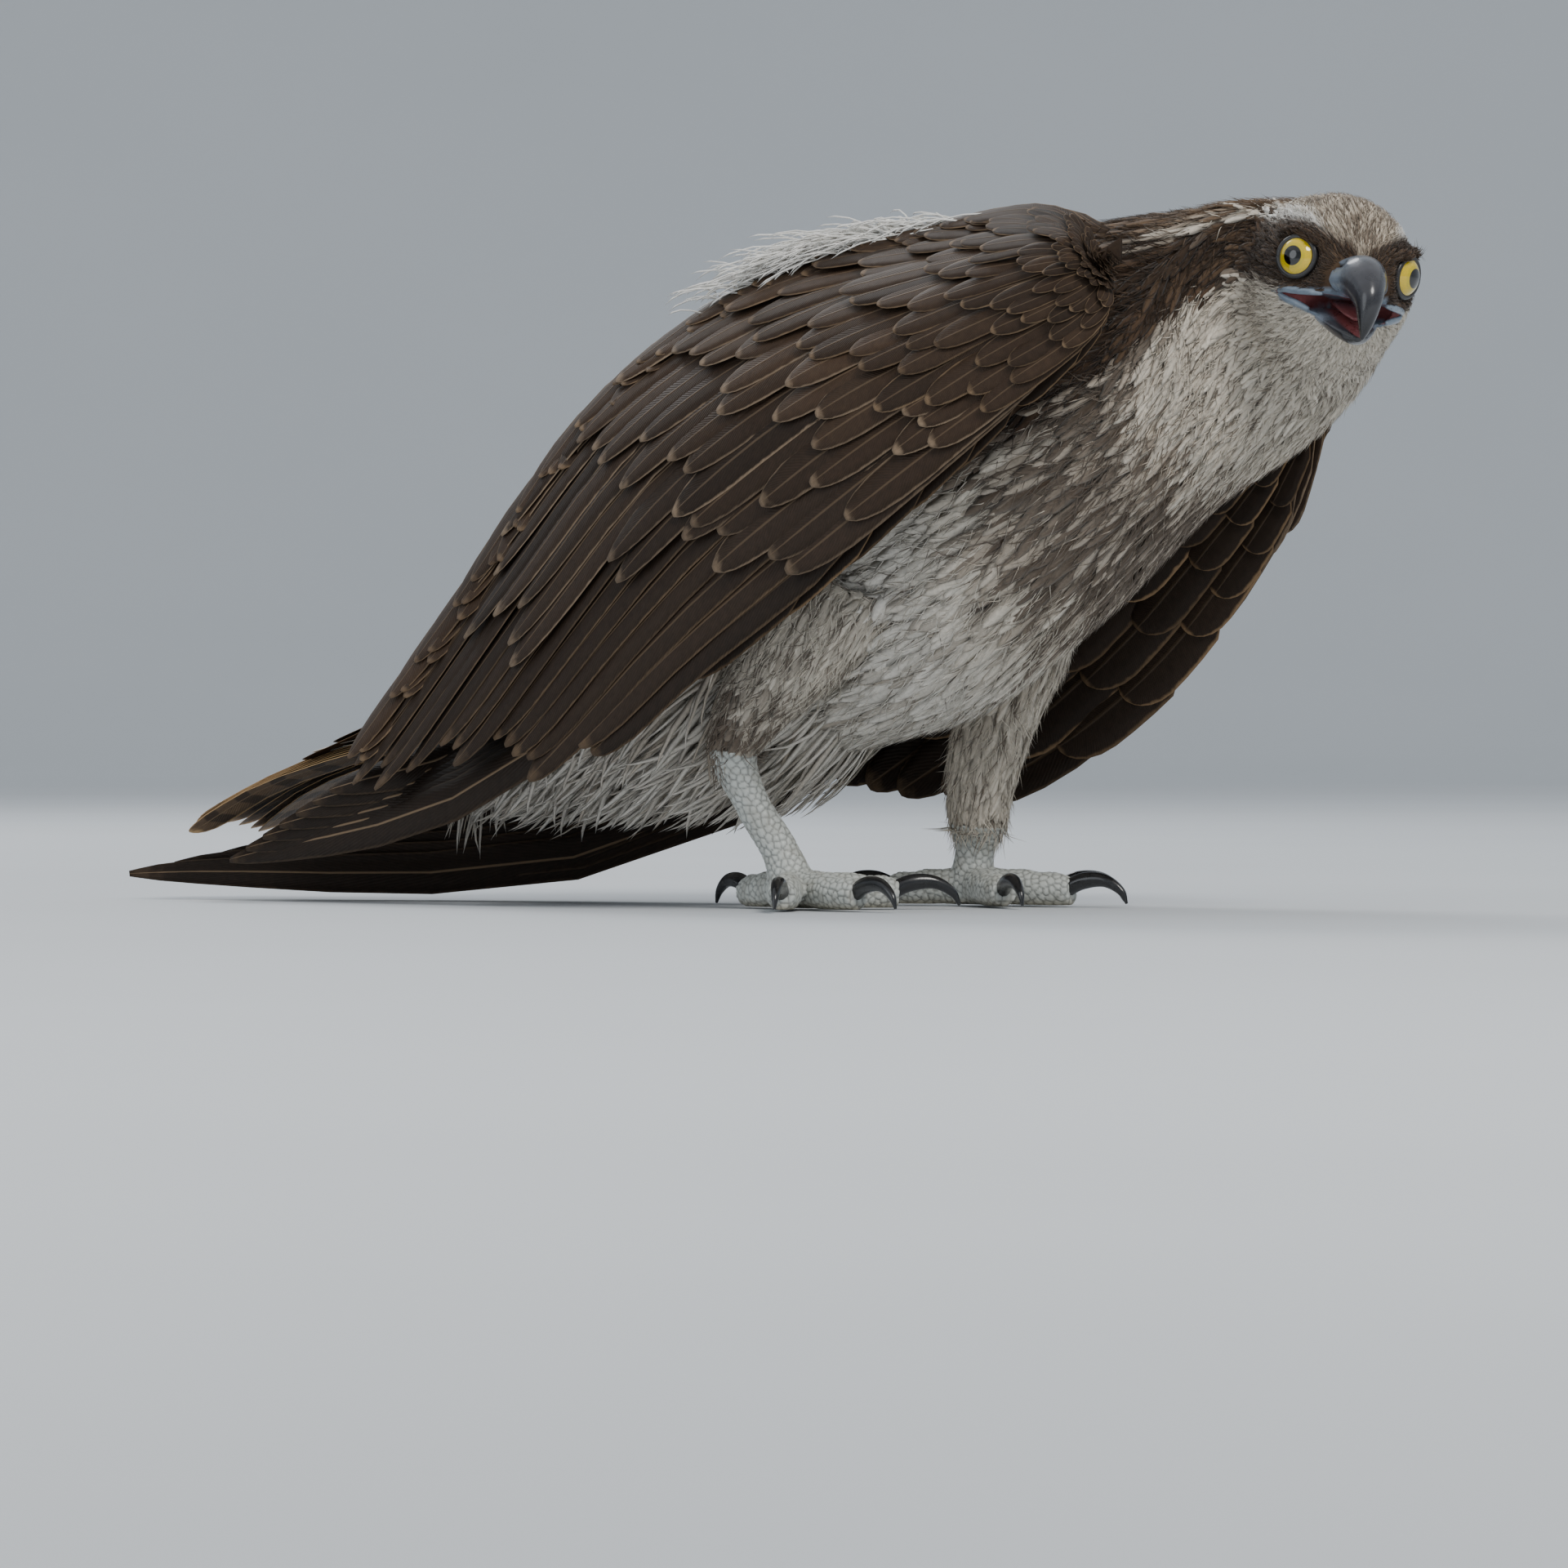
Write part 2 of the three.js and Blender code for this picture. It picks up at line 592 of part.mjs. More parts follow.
// One tier of overlapping vanes: their number and length, how high their tips stand, how far each lies
// over the next one down (under it where negative), and where their tips end for each v.
const TIERS = [
  { count: 9, length: 0.52, lift: -0.8, step: 1.9, tip: () => 1 },
  { count: 7, length: 0.34, lift: 3.6, step: -0.7, tip: (v) => 0.87 - 0.24 * v * v },
  { count: 6, length: 0.27, lift: 3.4, step: -0.5, tip: (v) => 0.68 - 0.38 * v },
  { count: 5, length: 0.22, lift: 3.2, step: -0.5, tip: (v) => 0.46 - 0.26 * v },
  { count: 4, length: 0.2, lift: 2.2, step: -0.6, tip: (v) => 0.28 - 0.12 * v },
];
const VANE_ROOT_LIFT = -4;     // how far under the sheet a vane's root starts
const WIDEST_VANE = 15;
const TIER_FROM = 0.05;        // the share of the sheet's width where a tier's first vane starts
const TIER_WIDTH = 0.91;
const VANE_OVERLAP = 0.85;     // half width as a share of the spacing
const RAGGED_FROM = 0.8;       // tips end unevenly from here on
const LONG_VANE = 0.5;

function wingTier(frame, { count, length, lift, step, tip }) {
  const apart = TIER_WIDTH / count;
  return Array.from({ length: count }, (_, i) => {
    const v = TIER_FROM + apart * (i + 0.5);
    const ragged = draw(-0.025, 0.02);
    return vane((t) => {
      const u = tip(v) - length * (1 - t) + ragged * Math.max(0, t - RAGGED_FROM) / (1 - RAGGED_FROM);
      const { centre, side, normal } = frame(u, v);
      const spacing = frame(u, v - apart / 2).centre.distanceTo(frame(u, v + apart / 2).centre);
      centre.addScaledVector(normal, VANE_ROOT_LIFT + (lift - VANE_ROOT_LIFT) * t);
      const half = Math.min(WIDEST_VANE, VANE_OVERLAP * spacing);
      return { centre, half, ...tilted(side, normal, step / spacing) };
    }, length > LONG_VANE ? LONG_BENT_VANE : BENT_VANE);
  });
}

// The long outer vanes come out from under the tiers' lower rear edge.
function wingPrimaries(frame, { count, middle, tip }, outward) {
  return Array.from({ length: count }, (_, i) => {
    const share = i / (count - 1);
    const root = frame(0.42, 0.86 - 0.3 * share);
    const start = root.centre.addScaledVector(root.normal, -3 - 2 * share);
    const between = ([first, last]) => first.clone().lerp(last, share);
    return vaneAlong([start, between(middle), between(tip)], outward, 9.5);
  });
}

const roomForLegs = join(legRoom);
for (const [side, wing] of Object.entries(WINGS)) {
  const frame = wingSheet(wing);
  const made = join([
    wingCore(frame),
    ...TIERS.flatMap((tier) => wingTier(frame, tier)),
    ...wingPrimaries(frame, wing.primaries, wing.outward),
  ]).subtract(roomForBody).subtract(roomForTail).subtract(roomForLegs);
  addNode(`wing_${side}`, made, BROWN);
}

// The origin is under the middle of the bird, on the floor.
const bounds = new THREE.Box3().setFromObject(bird);
const middle = bounds.getCenter(new THREE.Vector3());
bird.position.set(-middle.x, -middle.y, 0);

export default bird;
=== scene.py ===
# An osprey in full feather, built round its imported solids. Metres, +Z up; the bird faces -Y, its left is +X.
import json
import math

import bpy
import numpy as np
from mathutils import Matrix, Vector
from mathutils.bvhtree import BVHTree
from mathutils.kdtree import KDTree

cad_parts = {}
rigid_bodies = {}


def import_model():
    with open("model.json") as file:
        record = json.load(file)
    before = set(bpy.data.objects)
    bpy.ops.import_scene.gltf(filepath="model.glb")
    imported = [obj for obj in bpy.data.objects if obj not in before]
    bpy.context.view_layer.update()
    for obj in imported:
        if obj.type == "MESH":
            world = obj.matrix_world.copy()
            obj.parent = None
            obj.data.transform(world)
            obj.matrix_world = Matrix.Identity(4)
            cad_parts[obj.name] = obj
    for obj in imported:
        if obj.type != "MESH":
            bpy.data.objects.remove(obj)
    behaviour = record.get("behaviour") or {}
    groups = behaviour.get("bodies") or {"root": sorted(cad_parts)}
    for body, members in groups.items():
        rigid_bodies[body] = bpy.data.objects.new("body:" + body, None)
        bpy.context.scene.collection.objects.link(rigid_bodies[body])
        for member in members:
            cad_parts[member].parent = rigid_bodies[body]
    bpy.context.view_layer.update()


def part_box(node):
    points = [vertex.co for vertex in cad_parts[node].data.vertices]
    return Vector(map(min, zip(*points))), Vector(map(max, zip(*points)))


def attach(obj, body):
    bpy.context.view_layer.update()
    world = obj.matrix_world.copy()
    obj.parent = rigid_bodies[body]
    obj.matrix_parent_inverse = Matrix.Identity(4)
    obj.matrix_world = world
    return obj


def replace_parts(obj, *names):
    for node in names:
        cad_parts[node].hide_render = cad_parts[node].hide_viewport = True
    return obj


for leftover in list(bpy.data.objects):
    bpy.data.objects.remove(leftover)
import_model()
rng = np.random.default_rng(11)
MM = 0.001

# ---------------------------------------------------------------- places on the bird
# The same named sizes as the part's source, in millimetres: forward, left, up.
HEAD_AT = (199, -13, 226)
HEAD_YAW, HEAD_PITCH, HEAD_ROLL = -49, -3, -10
EYE_RADIUS = 8.6
EYE_AT = (11.5, 17, 4)
EYE_AXIS = 46


def direction(forward, left, up):
    return np.array([left, -forward, up], float)


def unit(v):
    return v / np.maximum(np.linalg.norm(v, axis=-1, keepdims=True), 1e-12)


def turned(v, axis, degrees):
    a = math.radians(degrees)
    return v * math.cos(a) + np.cross(axis, v) * math.sin(a) + axis * np.dot(axis, v) * (1 - math.cos(a))


def head_axes():
    yaw, pitch = math.radians(HEAD_YAW), math.radians(HEAD_PITCH)
    level = math.cos(pitch)
    forward = direction(math.cos(yaw) * level, math.sin(yaw) * level, math.sin(pitch))
    left = turned(direction(-math.sin(yaw), math.cos(yaw), 0), forward, HEAD_ROLL)
    return forward, left, np.cross(forward, left)


HEAD_FORWARD, HEAD_LEFT, HEAD_UP = head_axes()
LEFT, UP = direction(0, 1, 0), direction(0, 0, 1)


def head_offset(forward, left, up):
    return direction(*HEAD_AT) + HEAD_FORWARD * forward + HEAD_LEFT * left + HEAD_UP * up


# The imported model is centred, so its right eye tells how far everything was moved.
eye_low, eye_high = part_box("eye_right")
SHIFT = np.array((eye_low + eye_high) / 2) - head_offset(EYE_AT[0], -EYE_AT[1], EYE_AT[2]) * MM


def at(forward, left, up):
    return direction(forward, left, up) * MM + SHIFT


def in_head(forward, left, up):
    return head_offset(forward, left, up) * MM + SHIFT


# ---------------------------------------------------------------- smooth lines and rings
def spline(points, t):
    """Points on the centripetal Catmull-Rom line through the given ones, for t from 0 to 1."""
    points = np.asarray(points, float)
    t = np.atleast_1d(np.asarray(t, float))
    padded = np.vstack([2 * points[0] - points[1], points, 2 * points[-1] - points[-2]])
    place = np.clip(t, 0, 1) * (len(points) - 1)
    start = np.minimum(place.astype(int), len(points) - 2)
    weight = (place - start)[:, None]
    p0, p1, p2, p3 = (padded[start + k] for k in range(4))

    def gap(a, b):
        return np.maximum(np.sum((a - b) ** 2, axis=1) ** 0.25, 1e-9)[:, None]

    d0, d1, d2 = gap(p0, p1), gap(p1, p2), gap(p2, p3)
    m1 = ((p1 - p0) / d0 - (p2 - p0) / (d0 + d1) + (p2 - p1) / d1) * d1
    m2 = ((p2 - p1) / d1 - (p3 - p1) / (d1 + d2) + (p3 - p2) / d2) * d1
    c2 = -3 * p1 + 3 * p2 - 2 * m1 - m2
    c3 = 2 * p1 - 2 * p2 + m1 + m2
    return p1 + m1 * weight + c2 * weight**2 + c3 * weight**3


def key(place, half, top, bottom=None, side=LEFT, up=None):
    """A ring of a body part: sizes in millimetres, its middle in metres."""
    sizes = np.array([half, top, top if bottom is None else bottom], float) * MM
    return {"place": place, "size": sizes, "side": side, "up": up}


def ring_parts(keys, t):
    """Middle, size, side and up of the rings at t, as the part's source makes them."""
    centres = spline([k["place"] for k in keys], t)
    sizes = spline([k["size"] for k in keys], t)
    sides = unit(spline([k["side"] for k in keys], t))
    if keys[0]["up"] is not None:
        return centres, sizes, sides, unit(spline([k["up"] for k in keys], t))
    places = [k["place"] for k in keys]
    step = 1e-3
    along = spline(places, np.minimum(t + step, 1)) - spline(places, np.maximum(t - step, 0))
    return centres, sizes, sides, unit(np.cross(unit(along), sides))


def ring_points(keys, t, angle, grow=0.0):
    centres, sizes, sides, ups = ring_parts(keys, t)
    cos, sin = np.cos(angle)[:, None], np.sin(angle)[:, None]
    high = np.where(sin > 0, sizes[:, 1:2], sizes[:, 2:3]) + grow
    return centres + sides * cos * (sizes[:, 0:1] + grow) + ups * sin * high


def make_mesh(name, points, triangles, shader=None):
    mesh = bpy.data.meshes.new(name)
    points = np.ascontiguousarray(points, np.float32)
    triangles = np.ascontiguousarray(triangles, np.int32)
    mesh.vertices.add(len(points))
    mesh.vertices.foreach_set("co", points.ravel())
    mesh.loops.add(triangles.size)
    mesh.loops.foreach_set("vertex_index", triangles.ravel())
    mesh.polygons.add(len(triangles))
    mesh.polygons.foreach_set("loop_start", np.arange(0, triangles.size, 3, dtype=np.int32))
    mesh.update(calc_edges=True)
    mesh.polygons.foreach_set("use_smooth", np.ones(len(triangles), bool))
    if shader:
        mesh.materials.append(shader)
    piece = bpy.data.objects.new(name, mesh)
    bpy.context.scene.collection.objects.link(piece)
    return piece


def set_colours(piece, name, colours):
    """One colour per vertex, kept with the mesh under the given name."""
    layer = piece.data.color_attributes.new(name, "FLOAT_COLOR", "POINT")
    layer.data.foreach_set("color", np.ascontiguousarray(colours, np.float32).ravel())


def set_uv(piece, name, places):
    """One place per vertex on the named map."""
    layer = piece.data.uv_layers.new(name=name)
    corner = np.zeros(len(piece.data.loops), np.int32)
    piece.data.loops.foreach_get("vertex_index", corner)
    layer.data.foreach_set("uv", np.ascontiguousarray(places[corner], np.float32).ravel())


def dressed(name, points, triangles, shader, slot, colours, **maps):
    """A visible piece on the root body, with its markings and its maps; its slot is not used."""
    piece = make_mesh(name, points, triangles, shader)
    if colours is not None:
        colours = np.broadcast_to(colours, (len(points), 3))
        set_colours(piece, "markings", np.column_stack([colours, np.ones(len(points))]))
    for map_name, places in maps.items():
        set_uv(piece, map_name, places)
    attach(piece, "root")
    return piece


def tube_triangles(steps, sides):
    """Triangles of a tube of rings, closed by a fan at each end."""
    i, j = np.meshgrid(np.arange(steps), np.arange(sides), indexing="ij")
    a = (i * sides + j).ravel()
    b = (i * sides + (j + 1) % sides).ravel()
    fan = np.arange(1, sides - 1)
    last = steps * sides
    return np.vstack([
        np.stack([a, b + sides, b], 1), np.stack([a, a + sides, b + sides], 1),
        np.stack([0 * fan, fan, fan + 1], 1), np.stack([0 * fan + last, last + fan + 1, last + fan], 1),
    ])


def lofted(keys, steps, sides, start=0.0, end=1.0, grow=0.0):
    """Points, outward triangles and (t, angle) of a closed loft."""
    t = np.repeat(np.linspace(start, end, steps + 1), sides)
    angle = np.tile(2 * np.pi * np.arange(sides) / sides, steps + 1)
    points = ring_points(keys, t, angle, grow)
    triangles = tube_triangles(steps, sides)
    volume = np.einsum("ij,ij->i", points[triangles[:, 0]], np.cross(
        points[triangles[:, 1]] - points[0], points[triangles[:, 2]] - points[0])).sum()
    if volume < 0:
        triangles = triangles[:, ::-1]
    return points, triangles, np.stack([t, angle], 1)


def rod(line, radius, sides=14, steps=60, taper=0.5):
    """A closed tube along a line of points, thinner at both ends."""
    t = np.linspace(0, 1, steps + 1)
    centres = spline(line, t)
    side = unit(np.cross(unit(np.gradient(centres, axis=0)), UP))
    up = np.cross(side, unit(np.gradient(centres, axis=0)))
    turn = 2 * np.pi * np.arange(sides) / sides
    thick = radius * (1 - taper * np.abs(2 * t - 1) ** 3)
    ring = side[:, None] * np.cos(turn)[None, :, None] + up[:, None] * np.sin(turn)[None, :, None]
    points = (centres[:, None] + thick[:, None, None] * ring).reshape(-1, 3)
    places = np.stack([np.repeat(t, sides), np.tile(turn, steps + 1)], 1)
    return points, tube_triangles(steps, sides)[:, ::-1], places


def tree_of(places):
    tree = KDTree(len(places))
    for index, place in enumerate(places):
        tree.insert(place, index)
    tree.balance()
    return tree


def nearest_rows(places, queries):
    tree = tree_of(places)
    return np.array([tree.find(query)[1] for query in queries])


def thinned(places, gaps, order):
    """Rows taken in the given order, without those nearer than the gap to one taken before."""
    tree, free, taken = tree_of(places), np.ones(len(places), bool), []
    for row in order:
        if free[row]:
            taken.append(row)
            for _, other, _ in tree.find_range(places[row], gaps[row]):
                free[other] = False
    return np.array(taken)


# ---------------------------------------------------------------- materials
def material(name, roughness, sheen=0.0, coat=0.0, specular=0.5):
    made = bpy.data.materials.new(name)
    made.use_nodes = True
    shader = made.node_tree.nodes["Principled BSDF"]
    shader.inputs["Roughness"].default_value = roughness
    shader.inputs["Sheen Weight"].default_value = sheen
    shader.inputs["Coat Weight"].default_value = coat
    shader.inputs["Coat Roughness"].default_value = 0.08
    shader.inputs["Specular IOR Level"].default_value = specular
    return made, made.node_tree, shader


def node(tree, kind, inputs=(), **settings):
    made = tree.nodes.new(kind)
    for name, value in settings.items():
        setattr(made, name, value)
    for name, value in dict(inputs).items():
        if isinstance(value, bpy.types.NodeSocket):
            tree.links.new(value, made.inputs[name])
        else:
            made.inputs[name].default_value = value
    return made


def sums(tree, operation, a, b=0.0, c=0.0):
    return node(tree, "ShaderNodeMath", {0: a, 1: b, 2: c}, operation=operation).outputs[0]


def ramp(tree, value, low, high):
    """0 below low, 1 above high, smooth between."""
    made = node(tree, "ShaderNodeMapRange", {"Value": value, "From Min": low, "From Max": high})
    made.interpolation_type = "SMOOTHSTEP"
    return made.outputs[0]


def blended(tree, share, a, b, mode="MIX"):
    made = node(tree, "ShaderNodeMix", data_type="RGBA", blend_type=mode)
    for socket, value in ((made.inputs[0], share), (made.inputs[6], a), (made.inputs[7], b)):
        if isinstance(value, bpy.types.NodeSocket):
            tree.links.new(value, socket)
        else:
            socket.default_value = value
    return made.outputs[2]


def noise(tree, scale, detail=3.0, vector=None):
    if vector is None:
        vector = node(tree, "ShaderNodeTexCoord").outputs["Object"]
    inputs = {"Scale": scale, "Detail": detail, "Vector": vector}
    return node(tree, "ShaderNodeTexNoise", inputs).outputs["Fac"]


def attribute(tree, name):
    return node(tree, "ShaderNodeAttribute", attribute_name=name)


def bump(tree, shader, height, distance, strength=0.5):
    made = node(tree, "ShaderNodeBump", {"Height": height, "Distance": distance, "Strength": strength})
    tree.links.new(made.outputs[0], shader.inputs["Normal"])


def between(tree, value, low, high):
    """A value from 0 to 1, taken to the range from low to high."""
    return node(tree, "ShaderNodeMapRange", {"Value": value, "To Min": low, "To Max": high}).outputs[0]


def shaded(tree, colour, shade):
    """A colour multiplied by one grey value."""
    grey = node(tree, "ShaderNodeCombineColor", {0: shade, 1: shade, 2: shade}).outputs[0]
    return blended(tree, 1.0, colour, grey, "MULTIPLY")


def paint(tree, shader, colour):
    tree.links.new(colour, shader.inputs["Base Color"])


def grained(name, roughness, grain, shades, relief=None, colour=None, **look):
    """A material of one colour, or of its mesh's markings, broken up by noise.

    grain is the noise's scale and detail, shades the range that it multiplies the colour by, and relief the
    scale, detail, distance and strength of the bumps.
    """
    made, tree, shader = material(name, roughness, **look)
    colour = colour or attribute(tree, "markings").outputs["Color"]
    paint(tree, shader, shaded(tree, colour, between(tree, noise(tree, *grain), *shades)))
    if relief:
        scale, detail, distance, strength = relief
        bump(tree, shader, noise(tree, scale, detail), distance, strength)
    return made


def vane_material(name, barred=False):
    """Large feathers: shaft, barbs, pale edge and, on the tail, dark bars, drawn along each vane."""
    made, tree, shader = material(name, 0.6, specular=0.2)

    def times(a, b):
        return sums(tree, "MULTIPLY", a, b)

    split = node(tree, "ShaderNodeSeparateXYZ", {0: node(tree, "ShaderNodeUVMap", uv_map="vane").outputs[0]})
    along, across = split.outputs[0], split.outputs[1]
    side = sums(tree, "ABSOLUTE", sums(tree, "MULTIPLY_ADD", across, 2.0, -1.0))
    colour = attribute(tree, "markings").outputs["Color"]
    edging = attribute(tree, "edging")
    worn = sums(tree, "MULTIPLY_ADD", noise(tree, 260.0), 0.16, -0.08)
    edge = ramp(tree, sums(tree, "ADD", side, worn), 0.86, 0.97)
    tip = ramp(tree, sums(tree, "ADD", along, times(worn, 0.35)), 0.962, 0.998)
    rim = times(sums(tree, "MAXIMUM", edge, tip), edging.outputs["Alpha"])
    if barred:
        wave = sums(tree, "SINE", sums(tree, "MULTIPLY_ADD", along, 44.0, times(side, 1.2)))
        colour = blended(tree, times(ramp(tree, wave, 0.1, 0.5), 0.75), colour, (0.03, 0.021, 0.016, 1))
    # The barbs slant outward from the shaft.
    slant = sums(tree, "SUBTRACT", along, times(side, 0.10))
    barbs = sums(tree, "SINE", times(slant, 420.0))
    mottle = between(tree, noise(tree, 420.0, 4.0), 0.62, 1.4)
    colour = shaded(tree, colour, times(mottle, sums(tree, "MULTIPLY_ADD", barbs, 0.10, 1.0)))
    colour = blended(tree, rim, colour, edging.outputs["Color"])
    shaft = times(ramp(tree, side, 0.075, 0.03), attribute(tree, "shaft").outputs["Fac"])
    paint(tree, shader, blended(tree, shaft, colour, (0.22, 0.15, 0.09, 1)))
    height = sums(tree, "ADD", times(barbs, 0.3), times(ramp(tree, side, 0.08, 0.0), 2.0))
    bump(tree, shader, height, 0.0003, 0.5)
    return made


def scale_material():
    """Leg skin with stains; the mesh's markings are darker between its scales."""
    made, tree, shader = material("leg_scales", 0.5, coat=0.1)
    colour = attribute(tree, "markings").outputs["Color"]
    spots = ramp(tree, noise(tree, 160.0, 4.0), 0.42, 0.75)
    paint(tree, shader, blended(tree, sums(tree, "MULTIPLY", spots, 0.4), colour, (0.27, 0.25, 0.20, 1)))
    bump(tree, shader, noise(tree, 1400.0), 0.0003, 0.4)
    return made


def horn_material():
    """Bill and claws: glossy horn in the mesh's markings, with faint growth lines."""
    lines = (240.0, 5.0)
    made = grained("horn", 0.26, lines, (0.55, 1.6), (700.0, 3.0, 0.0002, 0.25), coat=0.5)
    tree = made.node_tree
    rough = between(tree, noise(tree, *lines), 0.16, 0.42)
    tree.links.new(rough, tree.nodes["Principled BSDF"].inputs["Roughness"])
    return made


def eye_material():
    """Yellow iris with darker rays, a black pupil and a black rim, all wet."""
    made, tree, shader = material("eye", 0.06, coat=1.0)
    shader.inputs["Coat Roughness"].default_value = 0.02
    split = node(tree, "ShaderNodeSeparateXYZ", {0: node(tree, "ShaderNodeUVMap", uv_map="iris").outputs[0]})
    angle, turn = split.outputs[0], split.outputs[1]
    spokes = node(tree, "ShaderNodeCombineXYZ", {0: sums(tree, "MULTIPLY", turn, 2.0),
                                                 1: sums(tree, "MULTIPLY", angle, 0.25)}).outputs[0]
    rays = ramp(tree, noise(tree, 60.0, 3.0, spokes), 0.35, 0.7)
    iris = blended(tree, rays, (0.62, 0.40, 0.006, 1), (0.90, 0.70, 0.015, 1))
    inner = sums(tree, "MULTIPLY", ramp(tree, angle, 0.62, 0.52), 0.45)
    iris = blended(tree, inner, iris, (0.42, 0.36, 0.01, 1))
    colour = blended(tree, ramp(tree, angle, 0.445, 0.41), iris, (0.002, 0.002, 0.002, 1))
    paint(tree, shader, blended(tree, ramp(tree, angle, 0.86, 0.92), colour, (0.006, 0.005, 0.005, 1)))
    return made


def flesh_material(name, colour, roughness=0.35):
    return grained(name, roughness, (380.0, 4.0), (0.55, 1.35), (900.0, 3.0, 0.0003, 0.4), colour, coat=0.35)


PLUMAGE = grained("plumage", 0.8, (900.0, 2.0), (0.72, 1.22), (2200.0, 2.0, 0.0003, 0.4),
                  sheen=0.12, specular=0.2)
VANE = vane_material("vane")
BARRED = vane_material("barred_vane", barred=True)
SKIN = grained("skin", 0.85, (700.0, 4.0), (0.6, 1.2), (700.0, 4.0, 0.0003, 0.5), specular=0.2)
SCALES = scale_material()
HORN = horn_material()
EYE = eye_material()
MOUTH = flesh_material("mouth", (0.24, 0.075, 0.075, 1))
GAPE = flesh_material("gape_edge", (0.20, 0.25, 0.31, 1))
LID = flesh_material("lid_skin", (0.018, 0.017, 0.018, 1), 0.5)


# ---------------------------------------------------------------- body rings
def trunk_key(forward, left, top, bottom, half, side=LEFT):
    height = (top - bottom) / 2
    return key(at(forward, left, (top + bottom) / 2), half, height, height, side, UP)


def head_key(forward, up, half, top, bottom):
    return key(in_head(forward, 0, up), half, top, bottom, HEAD_LEFT, HEAD_UP)


def ridge_key(forward, left, up, size):
    return key(in_head(forward, left, up), size, size, size, HEAD_UP)


NECK_SIDE = unit(LEFT * 0.6 + HEAD_LEFT * 0.4)
BODY_KEYS = [
    trunk_key(-168, 0, 96, 50, 25),
    trunk_key(-132, 0, 146, 46, 42),
    trunk_key(-85, 0, 192, 46, 50),
    trunk_key(-32, 0, 223, 50, 59),
    trunk_key(39, 0, 242, 68, 63),
    trunk_key(90, 0, 249, 102, 61),
    trunk_key(128, 0, 253, 136, 56),
    trunk_key(156, 2, 256, 160, 47, NECK_SIDE),
    head_key(-22, 0, 32, 29.5, 44),
    head_key(-8, 0, 30, 30.5, 36),
    head_key(5, 0, 27, 28.5, 30),
    head_key(15, 0, 22.5, 23.5, 25),
    head_key(23, -1, 17, 15.5, 19),
    head_key(29, -3, 11.5, 9, 11),
]
LAST_BODY_KEY = len(BODY_KEYS) - 1
LEG_KEYS = {
    "right": [
        key(at(14, -48, 124), 20, 27), key(at(0, -51, 98), 18, 22), key(at(-20, -48, 76), 13.5, 15),
        key(at(-31, -46, 57), 9.2, 9.8), key(at(-24, -44.5, 38), 6.9, 7.2), key(at(-13, -42.5, 20), 7.2, 7.6),
        key(at(-9, -42, 8), 9, 9.5), key(at(-9, -42, 1), 8, 8),
    ],
    "left": [
        key(at(36, 46, 128), 22, 30), key(at(34, 47, 98), 20, 24), key(at(28, 46, 72), 16, 17),
        key(at(23, 44, 48), 13.5, 14), key(at(21.5, 43, 29), 11, 11.5), key(at(20.5, 42.5, 19), 7.6, 8),
        key(at(20, 42, 8), 9, 9.5), key(at(20, 42, 1), 8, 8),
    ],
}
ANKLE_KEY = {"right": 3, "left": 4}
FOOT_AT = {"right": at(-9, -42, 0), "left": at(20, 42, 0)}
EYES = {}
for eye_name, eye_side in (("right", -1), ("left", 1)):
    eye_angle = math.radians(EYE_AXIS)
    EYES[eye_name] = (
        in_head(EYE_AT[0], eye_side * EYE_AT[1], EYE_AT[2]),
        HEAD_FORWARD * math.cos(eye_angle) + HEAD_LEFT * eye_side * math.sin(eye_angle),
    )

# ---------------------------------------------------------------- markings
DARK = np.array([0.026, 0.016, 0.010])
BROWN = np.array([0.085, 0.050, 0.029])
TAN = np.array([0.26, 0.17, 0.10])
BUFF = np.array([0.50, 0.38, 0.25])
CREAM = np.array([0.76, 0.69, 0.58])
WHITE = np.array([0.86, 0.84, 0.79])
BAND_EDGE, BAND_CENTRE = np.array([0.28, 0.165, 0.085]), np.array([0.050, 0.026, 0.013])
STRIPE_KEYS = [5, 6, 7, 8, 9, 10.6, 12]
STRIPE_MIDDLE = [28, 26, 22, 15, 12, 10, 2]
STRIPE_HALF = [33, 28, 25, 22, 20, 17, 11]
LORE = [(2, 25, 5), (11.5, 20, 5), (24, 11, 1)]


def smooth(value, low, high):
    x = np.clip((value - low) / (high - low), 0, 1)
    return x * x * (3 - 2 * x)


def mixed(a, b, share):
    share = np.asarray(share)[:, None]
    return a * (1 - share) + b * share


def ripple(points, scale, seed):
    """A slow wandering value from -1 to 1, the same at the same place."""
    local = np.random.default_rng(seed)
    total = np.zeros(len(points))
    for _ in range(6):
        wave = local.normal(size=3) * scale
        total += np.sin(points @ wave + local.uniform(0, 2 * np.pi))
    return total / 3.5


def distance_to(line, points):
    return np.min(np.linalg.norm(points[:, None] - line[None], axis=2), axis=1)


